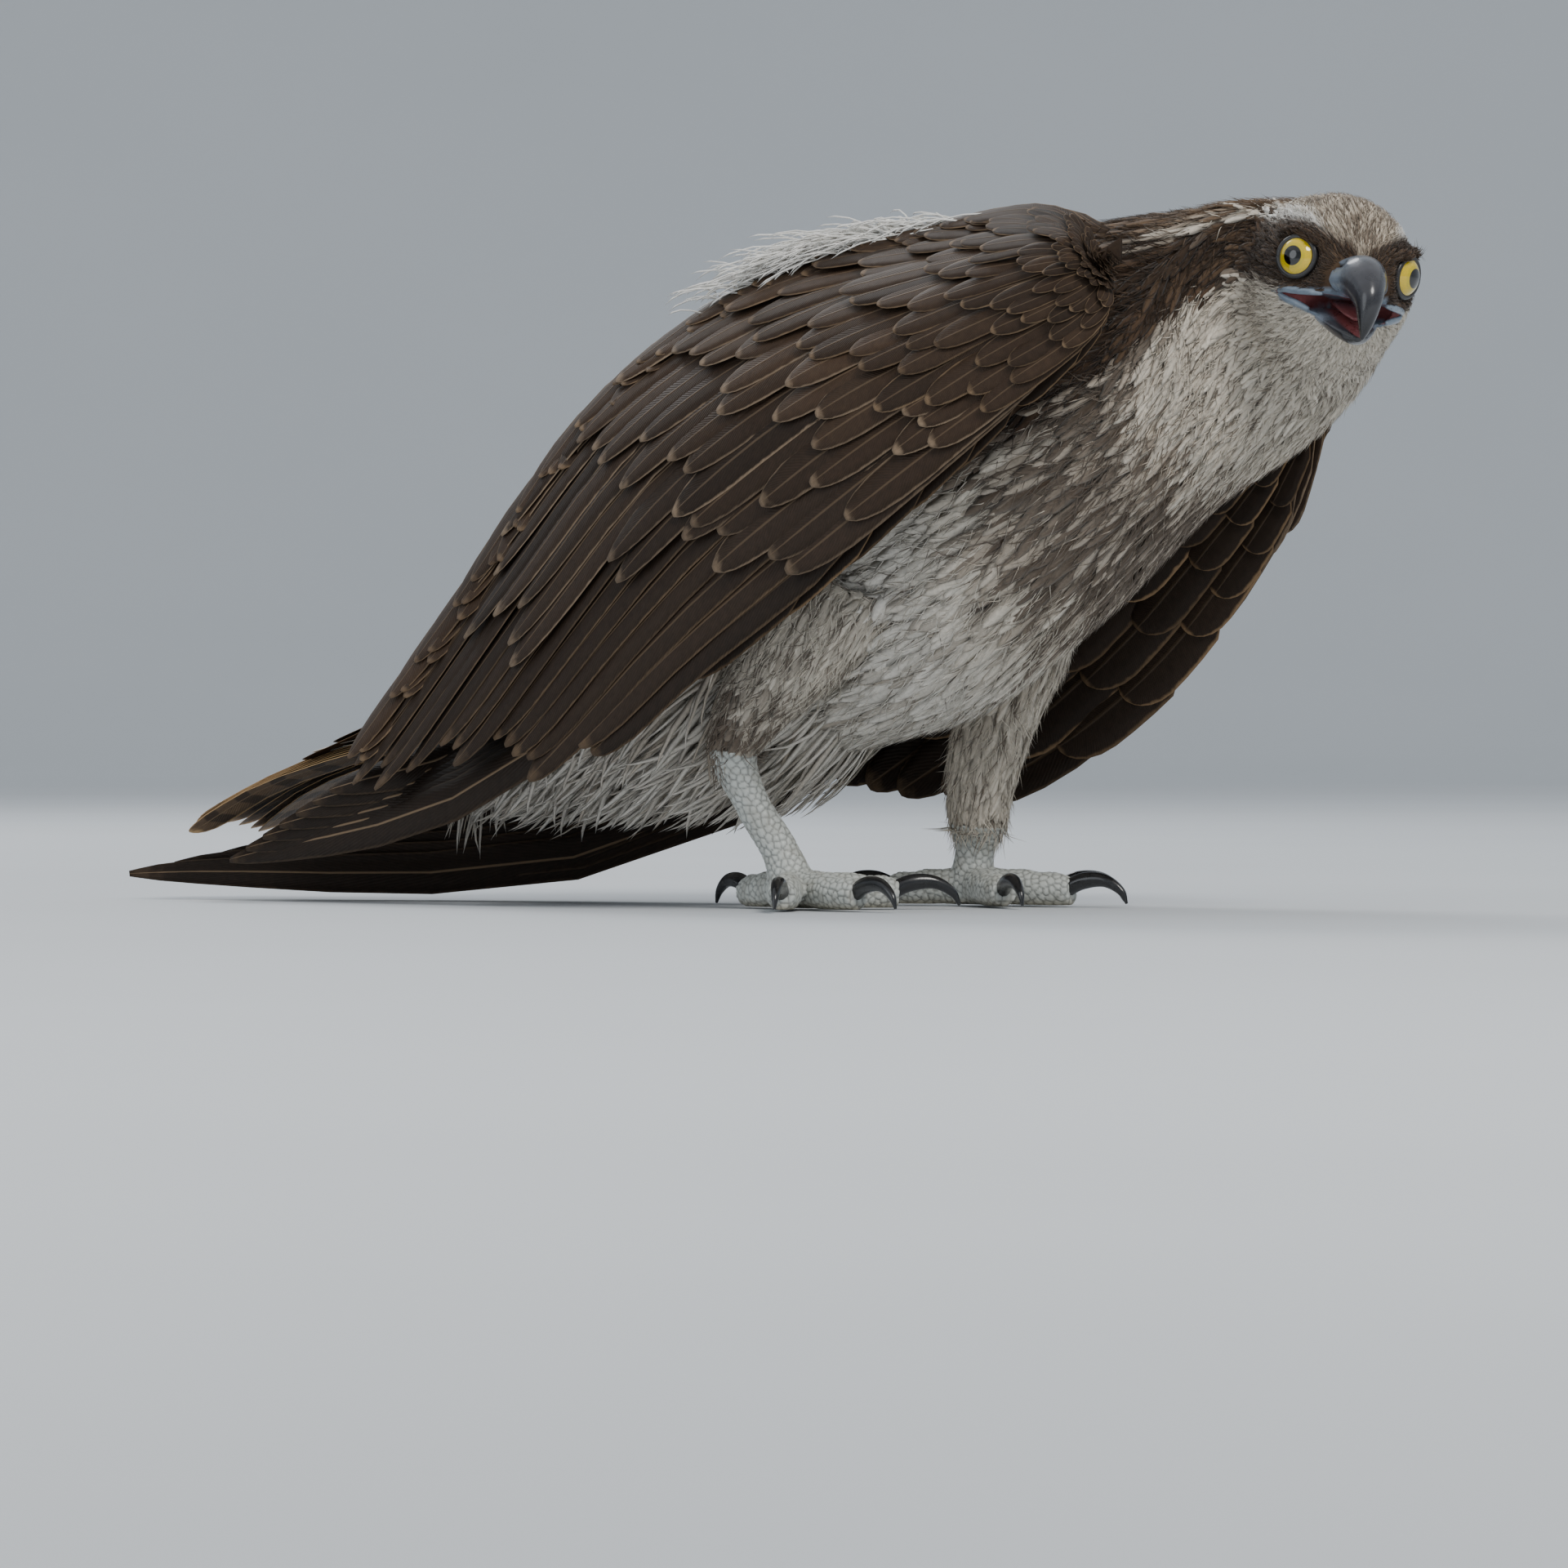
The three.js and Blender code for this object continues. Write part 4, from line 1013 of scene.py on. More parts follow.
class Vanes:
    """Large feathers gathered into one mesh: thin closed blades with their own along and across places."""

    def __init__(self):
        self.points, self.colours, self.edging, self.shaft, self.uv = [], [], [], [], []

    def add(self, centres, across, normals, half, colour, edging, shaft=0.6, camber=0.12, thick=0.35 * MM,
            tip=0.72):
        """A blade along the centres. half is its half width, edging its rim's colour and strength."""
        t = BLADE
        round_tip = np.sqrt(np.clip(1 - np.clip((t - tip) / (1 - tip), 0, 1) ** 2.2, 0.02, 1))
        root = 0.35 + 0.65 * smooth(t, 0.0, 0.22)
        wide = half * root * round_tip
        for face in (1, -1):
            for j in range(ACROSS):
                s = 2 * j / (ACROSS - 1) - 1
                sag = -camber * s * s * wide + face * thick * (1 - 0.75 * abs(s)) * (1 - 0.6 * t)
                self.points.append(centres + across * (s * wide)[:, None] + normals * sag[:, None])
                self.uv.append(np.stack([t, np.full(len(t), (s + 1) / 2)], 1))
                self.colours.append(np.tile(colour, (len(t), 1)))
                self.edging.append(np.tile(edging, (len(t), 1)))
                self.shaft.append(np.full(len(t), shaft))

    def piece(self, name, shader):
        rows, columns = ALONG, ACROSS
        size = rows * columns * 2
        points, uv = np.vstack(self.points), np.vstack(self.uv)
        count = len(points) // size
        triangles = []

        def wall(corners, flip):
            a, b, c, d = ((face * columns + j) * rows + i for face, j, i in corners)
            triangles.extend([(a, b, c), (a, c, d)] if flip else [(a, c, b), (a, d, c)])

        for i in range(rows - 1):
            for j in range(columns - 1):
                for face in (0, 1):
                    wall(((face, j, i), (face, j + 1, i), (face, j + 1, i + 1), (face, j, i + 1)), face)
            for j, flip in ((0, False), (columns - 1, True)):
                wall(((0, j, i), (0, j, i + 1), (1, j, i + 1), (1, j, i)), flip)
        for j in range(columns - 1):
            for i, flip in ((0, True), (rows - 1, False)):
                wall(((0, j, i), (0, j + 1, i), (1, j + 1, i), (1, j, i)), flip)
        triangles = (np.array(triangles)[None] + np.arange(count)[:, None, None] * size).reshape(-1, 3)
        # Each vane has a cell of its own on the OFBake map.
        cells = int(np.ceil(np.sqrt(count)))
        index = np.repeat(np.arange(count), size)
        cell = np.stack([index % cells, index // cells], 1)
        side = np.tile(np.repeat([0.0, 0.5], columns * rows), count)
        local = np.stack([uv[:, 0] * 0.92 + 0.04, uv[:, 1] * 0.44 + 0.03 + side], 1)
        made = dressed(name, points, triangles, shader, "dark_plumage", np.vstack(self.colours), vane=uv,
                       OFBake=(cell + local) / cells)
        set_colours(made, "edging", np.vstack(self.edging))
        layer = made.data.attributes.new("shaft", "FLOAT", "POINT")
        layer.data.foreach_set("value", np.concatenate(self.shaft).astype(np.float32))
        return made


def milli(points):
    return np.array([at(*p) for p in points])


WINGS = {
    "right": {
        "outward": unit(direction(0, -1, 0.35)), "bulge": 20 * MM,
        "upper": milli([(140, -74, 228), (116, -62, 247), (41, -32, 245), (-31, -27, 229), (-98, -27, 189),
                        (-155, -32, 117), (-212, -40, 42)]),
        "lower": milli([(145, -80, 230), (145, -90, 210), (111, -97, 180), (70, -101, 147), (24, -99, 114),
                        (-20, -93, 87), (-65, -83, 56)]),
        "middle": milli([(-128, -60, 46), (-128, -44, 66)]), "tip": milli([(-268, -20, 15), (-210, -40, 42)]),
        "primaries": 7, "tone": 1.0,
    },
    "left": {
        "outward": unit(direction(0, 1, 0.2)), "bulge": 20 * MM,
        "upper": milli([(138, 70, 226), (114, 62, 245), (41, 32, 245), (-31, 27, 229), (-98, 27, 189),
                        (-155, 33, 117), (-212, 42, 48)]),
        "lower": milli([(141, 78, 218), (142, 92, 188), (124, 103, 151), (101, 110, 121), (70, 109, 84),
                        (38, 99, 56), (0, 86, 36)]),
        "middle": milli([(-128, 46, 22), (-128, 46, 50)]), "tip": milli([(-322, -8, 9), (-206, 38, 34)]),
        # The left wing's feathers are painted at 0.8 of the right's brightness: painted shade on the wing away
        # from the camera.
        "primaries": 8, "tone": 0.8,
    },
}


def wing_points(wing, u, v):
    """Points of the folded wing's outer face: u runs from its bend to the tips, v from the back down."""
    u, v = np.broadcast_arrays(np.asarray(u, float), np.asarray(v, float))

    def inside(u, v):
        swell = wing["bulge"] * np.sin(np.pi * v) * np.sin(np.pi * np.minimum(0.9, u * 0.8 + 0.12))
        high, low = spline(wing["upper"], u), spline(wing["lower"], u)
        return high + (low - high) * v[:, None] + wing["outward"] * swell[:, None]

    near = inside(np.clip(u, 0, 1), v)
    end = inside(np.ones_like(u), v)
    beyond = end + (end - inside(np.full_like(u, 0.96), v)) * ((u - 1) / 0.04)[:, None]
    return np.where((u > 1)[:, None], beyond, near)


def wing_frame(wing, u, v):
    """Point, downward side and outward normal of the folded wing."""
    u, v = np.broadcast_arrays(np.asarray(u, float), np.asarray(v, float))
    along = unit(wing_points(wing, u + 0.01, v) - wing_points(wing, np.maximum(u - 0.01, 0), v))
    down = unit(wing_points(wing, u, v + 0.02) - wing_points(wing, u, v - 0.02))
    normal = unit(np.cross(along, down))
    normal = np.where((normal @ wing["outward"] < 0)[:, None], -normal, normal)
    side = unit(down - along * np.sum(down * along, axis=1, keepdims=True))
    return wing_points(wing, u, v), side, normal


def tip_line(scale):
    return lambda v: (0.87 - 0.24 * v * v - 0.10 * v * (1 - scale)) * scale


# Rows of the folded wing from the long rear ones to the small front ones: how many, how long, how high their
# tips stand in millimetres, how far each lies over the next, where their tips end, colour and pale edge.
PALE = (0.30, 0.20, 0.115)
WORN = (0.36, 0.26, 0.17)
WING_ROWS = [
    (15, 0.52, -0.8, 1.9, lambda v: 1 + 0 * v, DARK * 1.0, (*PALE, 0.35)),
    (14, 0.36, 1.6, 1.2, tip_line(1.0), DARK * 1.15, (*WORN, 0.5)),
    (14, 0.30, 2.2, 1.0, tip_line(0.85), BROWN * 0.42, (*WORN, 0.6)),
    (14, 0.26, 2.8, 0.9, tip_line(0.72), BROWN * 0.55, (*WORN, 0.6)),
    (15, 0.22, 3.2, 0.8, tip_line(0.60), BROWN * 0.50, (*PALE, 0.55)),
    (15, 0.18, 3.4, 0.7, tip_line(0.50), BROWN * 0.46, (*PALE, 0.55)),
    (16, 0.15, 3.4, 0.6, tip_line(0.41), BROWN * 0.42, (*PALE, 0.6)),
    (17, 0.13, 3.2, 0.5, tip_line(0.33), BROWN * 0.40, (*PALE, 0.6)),
    (18, 0.11, 3.0, 0.4, tip_line(0.26), BROWN * 0.38, (*PALE, 0.6)),
    (19, 0.09, 2.6, 0.4, tip_line(0.195), BROWN * 0.38, (*PALE, 0.6)),
    (19, 0.075, 2.2, 0.3, tip_line(0.14), BROWN * 0.40, (*PALE, 0.6)),
    (17, 0.06, 1.6, 0.3, tip_line(0.09), BROWN * 0.40, (*PALE, 0.55)),
    (14, 0.05, 1.0, 0.3, tip_line(0.045), BROWN * 0.42, (*PALE, 0.5)),
]
ROOT_LIFT = -3.6


def spacing_at(wing, u, v, apart):
    """How far one feather is from the next across the wing, and at least so far that it can be divided by."""
    gap = wing_points(wing, u, v - apart / 2) - wing_points(wing, u, v + apart / 2)
    gap = np.linalg.norm(gap, axis=1)
    return gap, np.maximum(gap, 4 * MM)


def wing_feathers(wing):
    """The rows of feathers that show on the folded wing's outer face."""
    vanes = Vanes()
    t = BLADE
    for row, (count, length, lift, step, tip, colour, edging) in enumerate(WING_ROWS):
        apart = 0.99 / count
        for i in range(count):
            v = apart * (i + 0.5) + rng.normal(0, 0.06) * apart
            ragged = rng.normal(0, 0.016 if row == 0 else 0.10 * length) - 0.012
            size = rng.normal(1, 0.05)
            u = tip(v) - length * size * (1 - t) + ragged * smooth(t, 0.3, 1)
            centres, across, normals = wing_frame(wing, u, np.full(ALONG, v) + rng.normal(0, 0.006) * t)
            spacing, divisor = spacing_at(wing, u, np.full(ALONG, v), apart)
            stand = ROOT_LIFT + (lift + rng.normal(0, 0.35) - ROOT_LIFT) * t
            lean = (step + rng.normal(0, 0.25)) * MM / divisor
            centres = centres + normals * (stand * MM)[:, None]
            half = np.minimum(17 * MM, 0.86 * spacing * rng.uniform(0.92, 1.08))
            across = unit(across + normals * lean[:, None])
            # Each feather's tone varies at random, times the wing's tone, which paints shade on the left wing.
            tone = wing["tone"] * rng.normal(1, 0.16)
            pale = np.clip(edging[3] * rng.uniform(0.5, 1.25), 0, 1)
            vanes.add(centres, across, normals, half, colour * tone, (*edging[:3], pale), shaft=0.35,
                      thick=(0.4 if row == 0 else 0.28) * MM, tip=0.7 if row else 0.8)
    return vanes


def blade_line(line, facing):
    """A blade's centres, its way along, and the given direction made square to that."""
    centres = spline(line, BLADE)
    along = unit(np.gradient(centres, BLADE, axis=0))
    return centres, along, unit(facing - along * (along @ facing)[:, None])


def wing_primaries(wing, vanes):
    """The long outer feathers, fanned from the middle of the wing to the tips."""
    count = wing["primaries"]
    for i in range(count):
        share = i / (count - 1)
        root, _, normal = wing_frame(wing, [0.42], [0.86 - 0.3 * share])
        start = root[0] - normal[0] * (3 + 2 * share) * MM
        middle = wing["middle"][0] * (1 - share) + wing["middle"][1] * share
        tip = wing["tip"][0] * (1 - share) + wing["tip"][1] * share
        centres, along, normals = blade_line([start, middle, tip], wing["outward"])
        across = np.cross(normals, along)
        across = np.where((across @ UP > 0)[:, None], -across, across)
        half = 9.6 * MM * (1 - 0.18 * BLADE)
        vanes.add(centres, across, normals, half, DARK * 0.75 * rng.normal(1, 0.1), (*PALE, 0.12), shaft=0.9,
                  thick=0.55 * MM, tip=0.62, camber=0.2)


BED_END = 0.84


def bed_depth(share, v):
    """Millimetres of flesh under the wing's feathers, at a share of the bed's length."""
    return (3 + 19 * (1 - v) ** 0.8) * (1 - 0.85 * share**3) * np.minimum(1, 0.35 + share * 1.7)


def wing_bed(side, wing):
    """Flesh under the wing's feathers: thick by the back, thin at the lower edge and to the rear."""
    along, across = 26, 18
    i, j = np.meshgrid(np.arange(along + 1), np.arange(across + 1), indexing="ij")
    u, v = (BED_END * i / along).ravel(), (0.97 * j / across).ravel()
    centres, _, normals = wing_frame(wing, u, v)
    share = i.ravel() / along
    rim = np.sqrt(np.clip(1 - (2 * v - 1) ** 8, 0, 1)) * np.sqrt(np.clip(1 - (2 * share - 1) ** 12, 0, 1))
    top = centres - normals * ((2.6 + 1.2 * (1 - rim)) * MM)[:, None]
    low = top - normals * ((0.6 + bed_depth(share, v) * rim) * MM)[:, None]
    row = across + 1
    a = (i[:-1, :-1] * row + j[:-1, :-1]).ravel()
    faces = np.vstack([np.stack([a, a + 1, a + row + 1], 1), np.stack([a, a + row + 1, a + row], 1)])
    layer = row * (along + 1)
    triangles = [faces, faces[:, ::-1] + layer]
    edge = [*range(across), *[i * row + across for i in range(along)],
            *[along * row + j for j in range(across, 0, -1)], *[i * row for i in range(along, 0, -1)]]
    ring = np.array(edge)
    after = np.roll(ring, -1)
    triangles += [np.stack([ring, after + layer, after], 1), np.stack([ring, ring + layer, after + layer], 1)]
    triangles = np.vstack(triangles)
    points = np.vstack([top, low])
    if np.sum(normals[0] * np.cross(points[1] - points[0], points[row + 1] - points[0])) < 0:
        triangles = triangles[:, ::-1]
    under = np.repeat([0.0, 1.0], layer)
    uv = np.tile(np.stack([u, v], 1), (2, 1)) * 0.45 + 0.02
    uv[layer:, 0] += 0.5
    return dressed(f"wing_bed_{side}", points, triangles, SKIN, "dark_plumage",
                   mixed(BROWN * 0.5, DARK * 1.3, under), OFBake=uv)


# Rows of the wing's inner face: how many, how long and where their tips end.
LINING_ROWS = [(11, 0.22, 0.93), (12, 0.19, 0.80), (12, 0.17, 0.68), (13, 0.15, 0.57), (13, 0.13, 0.47),
               (13, 0.12, 0.375), (13, 0.11, 0.29), (12, 0.1, 0.21), (11, 0.08, 0.13)]


def wing_lining(wing):
    """Scalloped dark feathers on the wing's inner face."""
    vanes = Vanes()
    for row, (count, length, tip) in enumerate(LINING_ROWS):
        apart = 0.86 / count
        for i in range(count):
            v = np.full(ALONG, 0.14 + apart * (i + 0.5))
            u = tip - 0.1 * v * (tip - 0.1) - length * (1 - BLADE) + rng.normal(0, 0.012)
            centres, across, normals = wing_frame(wing, u, v)
            spacing, divisor = spacing_at(wing, u, v, apart)
            depth = bed_depth(np.clip(u / BED_END, 0, 1), v)
            stand = 2.6 + depth * np.where(v > 0.93, 0.6, 1) + 0.2 * row + 3.2 * np.minimum(1, BLADE * 1.5)
            centres = centres - normals * (stand * MM)[:, None]
            lean = 0.7 * MM / divisor
            pale = rng.uniform(0.3, 0.95)
            across = unit(across - normals * lean[:, None])
            vanes.add(centres, across, -normals, np.minimum(15 * MM, 0.8 * spacing),
                      DARK * 0.9 * rng.normal(1, 0.15), (0.30, 0.19, 0.10, pale), shaft=0.2, tip=0.66,
                      thick=0.28 * MM)
    return vanes


def scapulars(side, wing):
    """Feathers from the back over the wing's upper edge, which hide where it joins."""
    vanes = Vanes()
    sign = 1 if side == "left" else -1
    for row, inward in enumerate((1.0, 0.62, 0.28)):
        for u in np.arange(0.21, 0.93, 0.04):
            u = u + rng.normal(0, 0.008)
            length = np.interp(u, [0.1, 0.5, 0.9], [0.11, 0.17, 0.15])
            stations = [u - length * 0.7, u, u + length * 0.55]
            edge_at = wing_points(wing, stations, [0.0, 0.02, 0.10 - 0.03 * row])
            tall = np.array([-0.6 + 0.3 * row, 1.0 + 0.5 * row, 2.2 + 0.5 * row]) * MM
            line = edge_at + wing["outward"] * tall[:, None] * 0.6 + UP * tall[:, None] * 0.8
            line[0] -= LEFT * sign * 20 * MM * inward
            line[1] -= LEFT * sign * 9 * MM * inward
            centres, along, normals = blade_line(line, unit(UP * 0.85 + LEFT * sign * 0.5))
            colour = BROWN * 0.5 * rng.normal(1, 0.15)
            half = np.interp(u, [0.2, 0.45], [5.5, 8.5]) * rng.uniform(0.85, 1.1) * MM
            edging = (*PALE, rng.uniform(0.3, 0.7))
            vanes.add(centres, np.cross(normals, along), normals, half, colour, edging, shaft=0.3, tip=0.68)
    return vanes


for side, wing in WINGS.items():
    vanes = wing_feathers(wing)
    wing_primaries(wing, vanes)
    for made in (vanes.piece(f"wing_feathers_{side}", VANE), wing_bed(side, wing),
                 wing_lining(wing).piece(f"wing_lining_{side}", VANE),
                 scapulars(side, wing).piece(f"scapulars_{side}", VANE)):
        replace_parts(made, f"wing_{side}")

# Loose white down that shows along the top of the right wing.
TUFTS = 560
tuft_at = rng.normal(0.415, 0.05, TUFTS)
tuft = object.__new__(Roots)
tuft.place = wing_points(WINGS["right"], tuft_at, rng.normal(0.015, 0.022, TUFTS)) + UP * 3 * MM
tuft.normal = unit(np.array([-0.25, 0.25, 1.0]) + rng.normal(0, 0.15, (TUFTS, 3)))
run = unit(wing_points(WINGS["right"], tuft_at + 0.02, 0.02)
           - wing_points(WINGS["right"], tuft_at - 0.02, 0.02))
run = unit(run + rng.normal(0, 0.3, (TUFTS, 3)))
tuft.lie = unit(run - tuft.normal * np.sum(run * tuft.normal, axis=1, keepdims=True))
tuft.region, tuft.t, tuft.angle = np.zeros(TUFTS, int), 0.3 + 0.1 * tuft_at, np.full(TUFTS, 1.9)
tuft_length = rng.uniform(10, 32, TUFTS) * MM
white = WHITE * rng.uniform(0.92, 1.05, (TUFTS, 1))
coat_piece("white_tuft", loose_rows(tuft, tuft_length, rng.uniform(0.5, 1.7, TUFTS) * MM, white,
                                    rng.uniform(1, 5, TUFTS) * MM))

# ---------------------------------------------------------------- tail
TAIL_VANES = 12
# The tail's middle line in millimetres: forward and up, from its tip to its root.
TAIL_FORWARD, TAIL_UP = [-291, -253, -215, -178], [32, 49, 61.5, 70]
# Rows of coverts: where they start and end, and how many.
COVERT_ROWS = ((-182, -236, 7), (-176, -222, 7), (-168, -206, 6), (-160, -192, 6))
TAIL_BASE = [
    key(at(-158, 0, 76), 27, 26, 27, LEFT, UP), key(at(-172, 0, 72), 25, 20, 22, LEFT, UP),
    key(at(-190, 0, 67), 22, 10, 12, LEFT, UP), key(at(-208, 0, 61), 18, 3, 4, LEFT, UP),
]


def tail_blade(vanes, line, half, colour, edging, tilt=0.0, **settings):
    centres, along, across = blade_line(line, LEFT)
    normals = np.cross(across, along)
    normals = np.where((normals @ UP < 0)[:, None], -normals, normals)
    across = unit(across + normals * tilt)
    vanes.add(centres, across, normals, half, colour, edging, **settings)


tail = Vanes()
for i in range(TAIL_VANES):
    from_middle = i - (TAIL_VANES - 1) / 2
    drop, back = abs(from_middle) * 1.2, abs(from_middle) * 1.6 + rng.uniform(-1, 1)
    spread = from_middle * 4.4
    tail_blade(tail, [at(-178, spread * 0.45, 70 - drop), at(-215, spread * 0.62, 61.5 - drop),
                      at(-253, spread * 0.82, 49 - drop), at(-291 + back, spread, 32 - drop)], 9.5 * MM,
               TAN * 0.55 * rng.normal(1, 0.1), (0.62, 0.40, 0.20, 0.9), np.sign(from_middle) * 0.08,
               shaft=0.9, tip=0.86, thick=0.45 * MM)
barred = tail.piece("tail_feathers", BARRED)
coverts = Vanes()
for above in (True, False):
    for row, (start, end, count) in enumerate(COVERT_ROWS):
        for i in range(count):
            from_middle = i - (count - 1) / 2
            spread = from_middle * (40 if above else 25) / count
            lift = (1.6 + row * 0.9) * (1 if above else -1)
            bend = abs(from_middle) * (-1.0 if above else 1.0)
            stations = (start, (start + end) / 2, end)
            slope = np.interp(stations, TAIL_FORWARD, TAIL_UP)
            tall = np.interp(stations, [-236, -206, -178, -160], [0, 2.5, 10, 20]) * (1 if above else -1)
            spots = [at(forward, spread * out, up + rise + lift + bend) for forward, out, up, rise in
                     zip(stations, (0.8, 0.95, 1.05), slope, tall)]
            colour = BROWN * 0.8 if above else CREAM
            edging = (*PALE, 0.6) if above else (*WHITE, 0.6)
            tail_blade(coverts, spots, 7.5 * MM, colour * rng.normal(1, 0.1), edging, shaft=0.3)
tail_coverts = coverts.piece("tail_coverts", VANE)
base_points, base_triangles, base_places = lofted(TAIL_BASE, 16, 32)
upward_share = smooth(np.sin(base_places[:, 1]), -0.1, 0.3)
tail_base = dressed("tail_base", base_points, base_triangles, SKIN, "dark_plumage",
                    mixed(CREAM * 0.8, BROWN * 0.7, upward_share),
                    OFBake=np.stack([base_places[:, 0], base_places[:, 1] / 7], 1) * 0.5)
for made in (barred, tail_coverts, tail_base):
    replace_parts(made, "tail")


# ---------------------------------------------------------------- bill, eyes, mouth
def plain_piece(name, loft, shader, slot, colours):
    points, triangles, places = loft
    return dressed(name, points, triangles, shader, slot, colours,
                   OFBake=np.stack([places[:, 0], np.mod(places[:, 1], 2 * np.pi) / 6.4], 1))


def bill_key(forward, up, half, top, bottom):
    return key(in_head(forward, 0, up), half, top, bottom, HEAD_LEFT)


UPPER_BILL = [
    bill_key(21.5, -3, 12.5, 8.5, 5), bill_key(27, -2, 11.2, 9.5, 5.5), bill_key(34, -1.5, 8.8, 9.5, 6.5),
    bill_key(41, -4, 6.8, 8.5, 6.5), bill_key(46, -8, 5, 6.5, 6), bill_key(48, -13.5, 3.4, 4, 4),
    bill_key(48, -18, 2, 2.3, 2.3), bill_key(47, -21.5, 0.6, 0.7, 0.7),
]
LOWER_BILL = [
    bill_key(14, -13.5, 13.5, 1.8, 2.5), bill_key(22, -16, 11, 2, 4), bill_key(30, -18.5, 8, 2, 4.2),
    bill_key(36.5, -20.5, 4.8, 1.8, 3.2), bill_key(40.5, -21.3, 1.6, 0.9, 1.3),
]
TONGUE = [
    bill_key(9, -9, 5, 1.5, 1.5), bill_key(19, -10.4, 5, 1.4, 1.4), bill_key(28, -13, 3.6, 1.1, 1.1),
    bill_key(33, -14.6, 1.2, 0.6, 0.6),
]
HORN_BLACK = np.array([0.011, 0.011, 0.013])
CERE = np.array([0.15, 0.18, 0.22])
NOSTRIL = [(27, 10.5, 2.5), (29.5, 9, 3.6), (32, 8, 4.2)]


def horn_colours(t, dark_from, dark_to):
    """Blue-grey at the base, slate further on and black at the tip."""
    colours = mixed(CERE, HORN_BLACK * 4, smooth(t, dark_from - 0.12, dark_from + 0.05))
    return mixed(colours, HORN_BLACK, smooth(t, dark_from, dark_to))


upper = lofted(UPPER_BILL, 90, 64)
upper_points = upper[0].copy()
upper_colours = horn_colours(upper[2][:, 0], 0.34, 0.85)
middle_line = ring_parts(UPPER_BILL, upper[2][:, 0])[0]
# The nostril slits are pressed in and painted near-black: a painted shadow in each opening.
for sign in (-1, 1):
    slit = spline([in_head(a, sign * b, c) for a, b, c in NOSTRIL], np.linspace(0, 1, 20))
    sunk_and_shadowed = 1 - smooth(distance_to(slit, upper_points) / MM, 0.7, 1.6)
    upper_points += unit(middle_line - upper_points) * (sunk_and_shadowed * 1.3 * MM)[:, None]
    upper_colours = mixed(upper_colours, np.array([0.004, 0.004, 0.005]), sunk_and_shadowed)
# The inner edge of the hooked bill shows the pink of the mouth.
inner = smooth(-np.sin(upper[2][:, 1]), 0.82, 0.97) * smooth(head_place(upper_points)[0], 46, 40)
upper_colours = mixed(upper_colours, np.array([0.30, 0.10, 0.10]), inner)
upper_bill = plain_piece("upper_bill", (upper_points, upper[1], upper[2]), HORN, "horn", upper_colours)
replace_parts(upper_bill, "bill_upper")
lower = lofted(LOWER_BILL, 60, 56)
lower_colours = horn_colours(lower[2][:, 0], 0.4, 0.9)
lower_colours = mixed(lower_colours, np.array([0.30, 0.09, 0.09]), smooth(np.sin(lower[2][:, 1]), 0.75, 0.95))
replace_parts(plain_piece("lower_bill", lower, HORN, "horn", lower_colours), "bill_lower")
tongue = lofted(TONGUE, 30, 24)
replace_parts(plain_piece("tongue_flesh", tongue, MOUTH, "mouth", (0.4, 0.1, 0.1)), "tongue")


def eye_ball(place, axis):
    """A ball whose own map runs by angle from the eye's axis."""
    rings, sides = 48, 64
    angles = np.pi * np.arange(1, rings) / rings
    first = unit(np.cross(axis, UP))
    second = np.cross(axis, first)
    round_about = 2 * np.pi * np.arange(sides) / sides
    equator = first * np.cos(round_about)[:, None] + second * np.sin(round_about)[:, None]
    shell = axis * np.cos(angles)[:, None, None] + np.sin(angles)[:, None, None] * equator[None]
    points = np.vstack([axis[None], shell.reshape(-1, 3), -axis[None]]) * EYE_RADIUS * MM + place
    triangles = []
    for j in range(sides):
        after = (j + 1) % sides
        triangles.append((0, 1 + j, 1 + after))
        end = 1 + (rings - 2) * sides
        triangles.append((end + j, len(points) - 1, end + after))
        for i in range(rings - 2):
            a, b = 1 + i * sides + j, 1 + i * sides + after
            triangles += [(a, a + sides, b + sides), (a, b + sides, b)]
    around = np.concatenate([[0], np.tile(round_about, rings - 1), [0]])
    away = np.concatenate([[0], np.repeat(angles, sides), [np.pi]])
    return points, np.array(triangles), np.stack([away, around], 1)


for side, sign in (("right", -1), ("left", 1)):
    for edge_name, lip in (("upper", 1), ("lower", -1)):
        line = []
        for ahead_by in (7.5, 11, 15, 19, 23, 26):
            middle = np.interp(ahead_by, CUT_AHEAD, CUT_MIDDLE)
            half = np.interp(ahead_by, [7.5, *CUT_AHEAD], [0, 0.8, 1.6, 3.5, 6])
            start = in_head(ahead_by, sign * 45, middle + lip * (half + 0.5))
            hit = SURFACE.ray_cast(Vector(start), Vector(-sign * HEAD_LEFT))[0]
            if hit is not None:
                line.append(np.array(hit))
        lip_rod = rod(line, 1.35 * MM, steps=40)
        plain_piece(f"gape_{edge_name}_{side}", lip_rod, GAPE, "mouth", (0.2, 0.25, 0.31))

for side, (place, axis) in EYES.items():
    points, triangles, places = eye_ball(place, axis)
    flat = np.stack([np.cos(places[:, 1]), np.sin(places[:, 1])], 1) * places[:, :1] * 0.14 + 0.5
    eye = dressed(f"eyeball_{side}", points, triangles, EYE, "iris", None, iris=places, OFBake=flat)
    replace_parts(eye, f"eye_{side}")
    first = unit(np.cross(axis, UP))
    second = np.cross(axis, first)
    turn_by = np.linspace(0, 2 * np.pi, 65)
    rim_radius, rim_out = EYE_RADIUS * 0.83, EYE_RADIUS * 0.56
    rim = place + axis * rim_out * MM + (first * np.cos(turn_by)[:, None] * 1.04
                                         + second * np.sin(turn_by)[:, None] * 0.97) * rim_radius * MM
    ring = rod(rim, 1.15 * MM, steps=96, taper=0.0)
    plain_piece(f"lid_{side}", ring, LID, "horn", (0.02, 0.02, 0.02))

# ---------------------------------------------------------------- feet
TOE_LENGTH, TOE_RADIUS, CLAW_LENGTH, CLAW_RADIUS = 41, 6.4, 22, 3.1
